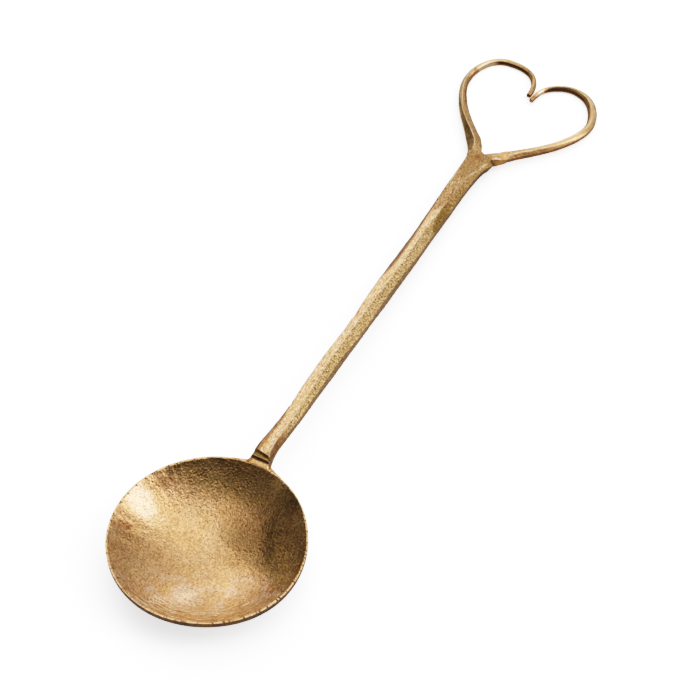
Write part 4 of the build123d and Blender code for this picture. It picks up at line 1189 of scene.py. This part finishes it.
# ------------------------------------------------------------------ pieces
bowl = make_bowl()
shank, left_arm, right_arm = make_bar()
braze = make_braze()
bowl.data.materials.append(bowl_material())
bar_mat = bar_material()
for piece in (shank, left_arm, right_arm):
    piece.data.materials.clear()
    piece.data.materials.append(bar_mat)
braze.data.materials.append(bar_material("braze_brass", True))
for piece, node, slot in ((bowl, "bowl", "bowl_brass"), (shank, "handle_shank", "bar_brass"), (left_arm, "heart_arm_left", "bar_brass"),
                          (right_arm, "heart_arm_right", "bar_brass"), (braze, "neck_braze", "braze")):
    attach(piece, "root")
    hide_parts(node)

# ------------------------------------------------------------ floor and light
# A matt pale floor. The camera sees it lifted almost to white; the brass is lit by its plain grey.
N = Nodes("pale_floor")
seen = N.add("ShaderNodeLightPath").outputs["Is Camera Ray"]
grey = N.add("ShaderNodeBsdfDiffuse", Color=(0.80, 0.80, 0.80, 1.0))
lit = N.add("ShaderNodeBsdfDiffuse", Color=(1.70, 1.70, 1.73, 1.0))
lift = N.add("ShaderNodeEmission", Color=(1.0, 1.0, 1.0, 1.0), Strength=0.36)
white = N.add("ShaderNodeAddShader")
N.t.links.new(lit.outputs[0], white.inputs[0])
N.t.links.new(lift.outputs[0], white.inputs[1])
both = N.add("ShaderNodeMixShader", Fac=seen)
N.t.links.new(grey.outputs[0], both.inputs[1])
N.t.links.new(white.outputs[0], both.inputs[2])
out = N.add("ShaderNodeOutputMaterial")
N.t.links.new(both.outputs[0], out.inputs[0])
bpy.ops.mesh.primitive_plane_add(size=8.0, location=(0, 0, -0.00005))
floor = bpy.context.object
floor.name = "floor"
floor.data.materials.append(N.mat)

# The studio: soft glows (elevation, azimuth from the camera's right towards away, brightness) in a dark room.
GLOWS = [(88, 0, 0.75), (72, 0, 0.46), (72, 72, 0.73), (72, 144, 0.29), (72, 216, 0.35), (72, 288, 0.20),
         (56, 0, 1.23), (56, 36, 0.21), (56, 72, 0.51), (56, 108, 0.40), (56, 144, 0.06), (56, 180, 0.19),
         (40, 0, 1.47), (40, 48, 0.24), (40, 72, 0.15), (40, 96, 0.36), (40, 120, 0.60), (40, 336, 0.17),
         (24, -20, 0.40), (24, 0, 0.65), (24, 60, 0.29), (24, 80, 0.39), (24, 100, 0.66), (24, 120, 0.15),
         (8, -40, 0.04), (8, -20, 0.18), (8, 0, 0.43), (8, 20, 0.07), (8, 40, 0.42), (8, 80, 0.67),
         (8, 100, 0.69), (8, 120, 0.06), (8, 160, 0.26),
         (28, 185, 0.24), (28, 215, 0.20), (26, 241, 0.16), (22, 266, 0.09), (20, 292, 0.05)]
w = bpy.data.worlds.new("studio")
bpy.context.scene.world = w
w.use_nodes = True
T = w.node_tree
T.nodes.clear()


def wmath(op, *vals):
    n = T.nodes.new("ShaderNodeMath")
    n.operation = op
    for i, v in enumerate(vals):
        if isinstance(v, bpy.types.NodeSocket):
            T.links.new(v, n.inputs[i])
        else:
            n.inputs[i].default_value = v
    return n.outputs[0]


look = T.nodes.new("ShaderNodeTexCoord").outputs["Generated"]
total = None
for elev, azim, bright in GLOWS:
    e, a = math.radians(elev), math.radians(azim)
    d = world(math.cos(e) * math.cos(a), math.cos(e) * math.sin(a), math.sin(e))
    dot = T.nodes.new("ShaderNodeVectorMath")
    dot.operation = "DOT_PRODUCT"
    T.links.new(look, dot.inputs[0])
    dot.inputs[1].default_value = d
    glow = wmath("EXPONENT", wmath("MULTIPLY_ADD", dot.outputs["Value"], 40.0, -40.0))
    total = wmath("MULTIPLY_ADD", glow, bright, total if total is not None else 0.0)
room = T.nodes.new("ShaderNodeBackground")
T.links.new(total, room.inputs["Color"])
plain = T.nodes.new("ShaderNodeBackground")
plain.inputs["Color"].default_value = (1, 1, 1, 1)
mixw = T.nodes.new("ShaderNodeMixShader")
T.links.new(T.nodes.new("ShaderNodeLightPath").outputs["Is Camera Ray"], mixw.inputs[0])
T.links.new(room.outputs[0], mixw.inputs[1])
T.links.new(plain.outputs[0], mixw.inputs[2])
wout = T.nodes.new("ShaderNodeOutputWorld")
T.links.new(mixw.outputs[0], wout.inputs[0])

sc = bpy.context.scene
sc.view_settings.view_transform = "Standard"
sc.view_settings.look = "None"
sc.view_settings.exposure = 0.0
sc.view_settings.gamma = 1.0
# a contrasty print curve
sc.view_settings.use_curve_mapping = True
cm = sc.view_settings.curve_mapping
curve = cm.curves[3]
for px, py in ((0.02, 0.021), (0.05, 0.080), (0.10, 0.200), (0.18, 0.388), (0.30, 0.601), (0.45, 0.768), (0.60, 0.869), (0.80, 0.951)):
    curve.points.new(px, py)
cm.update()
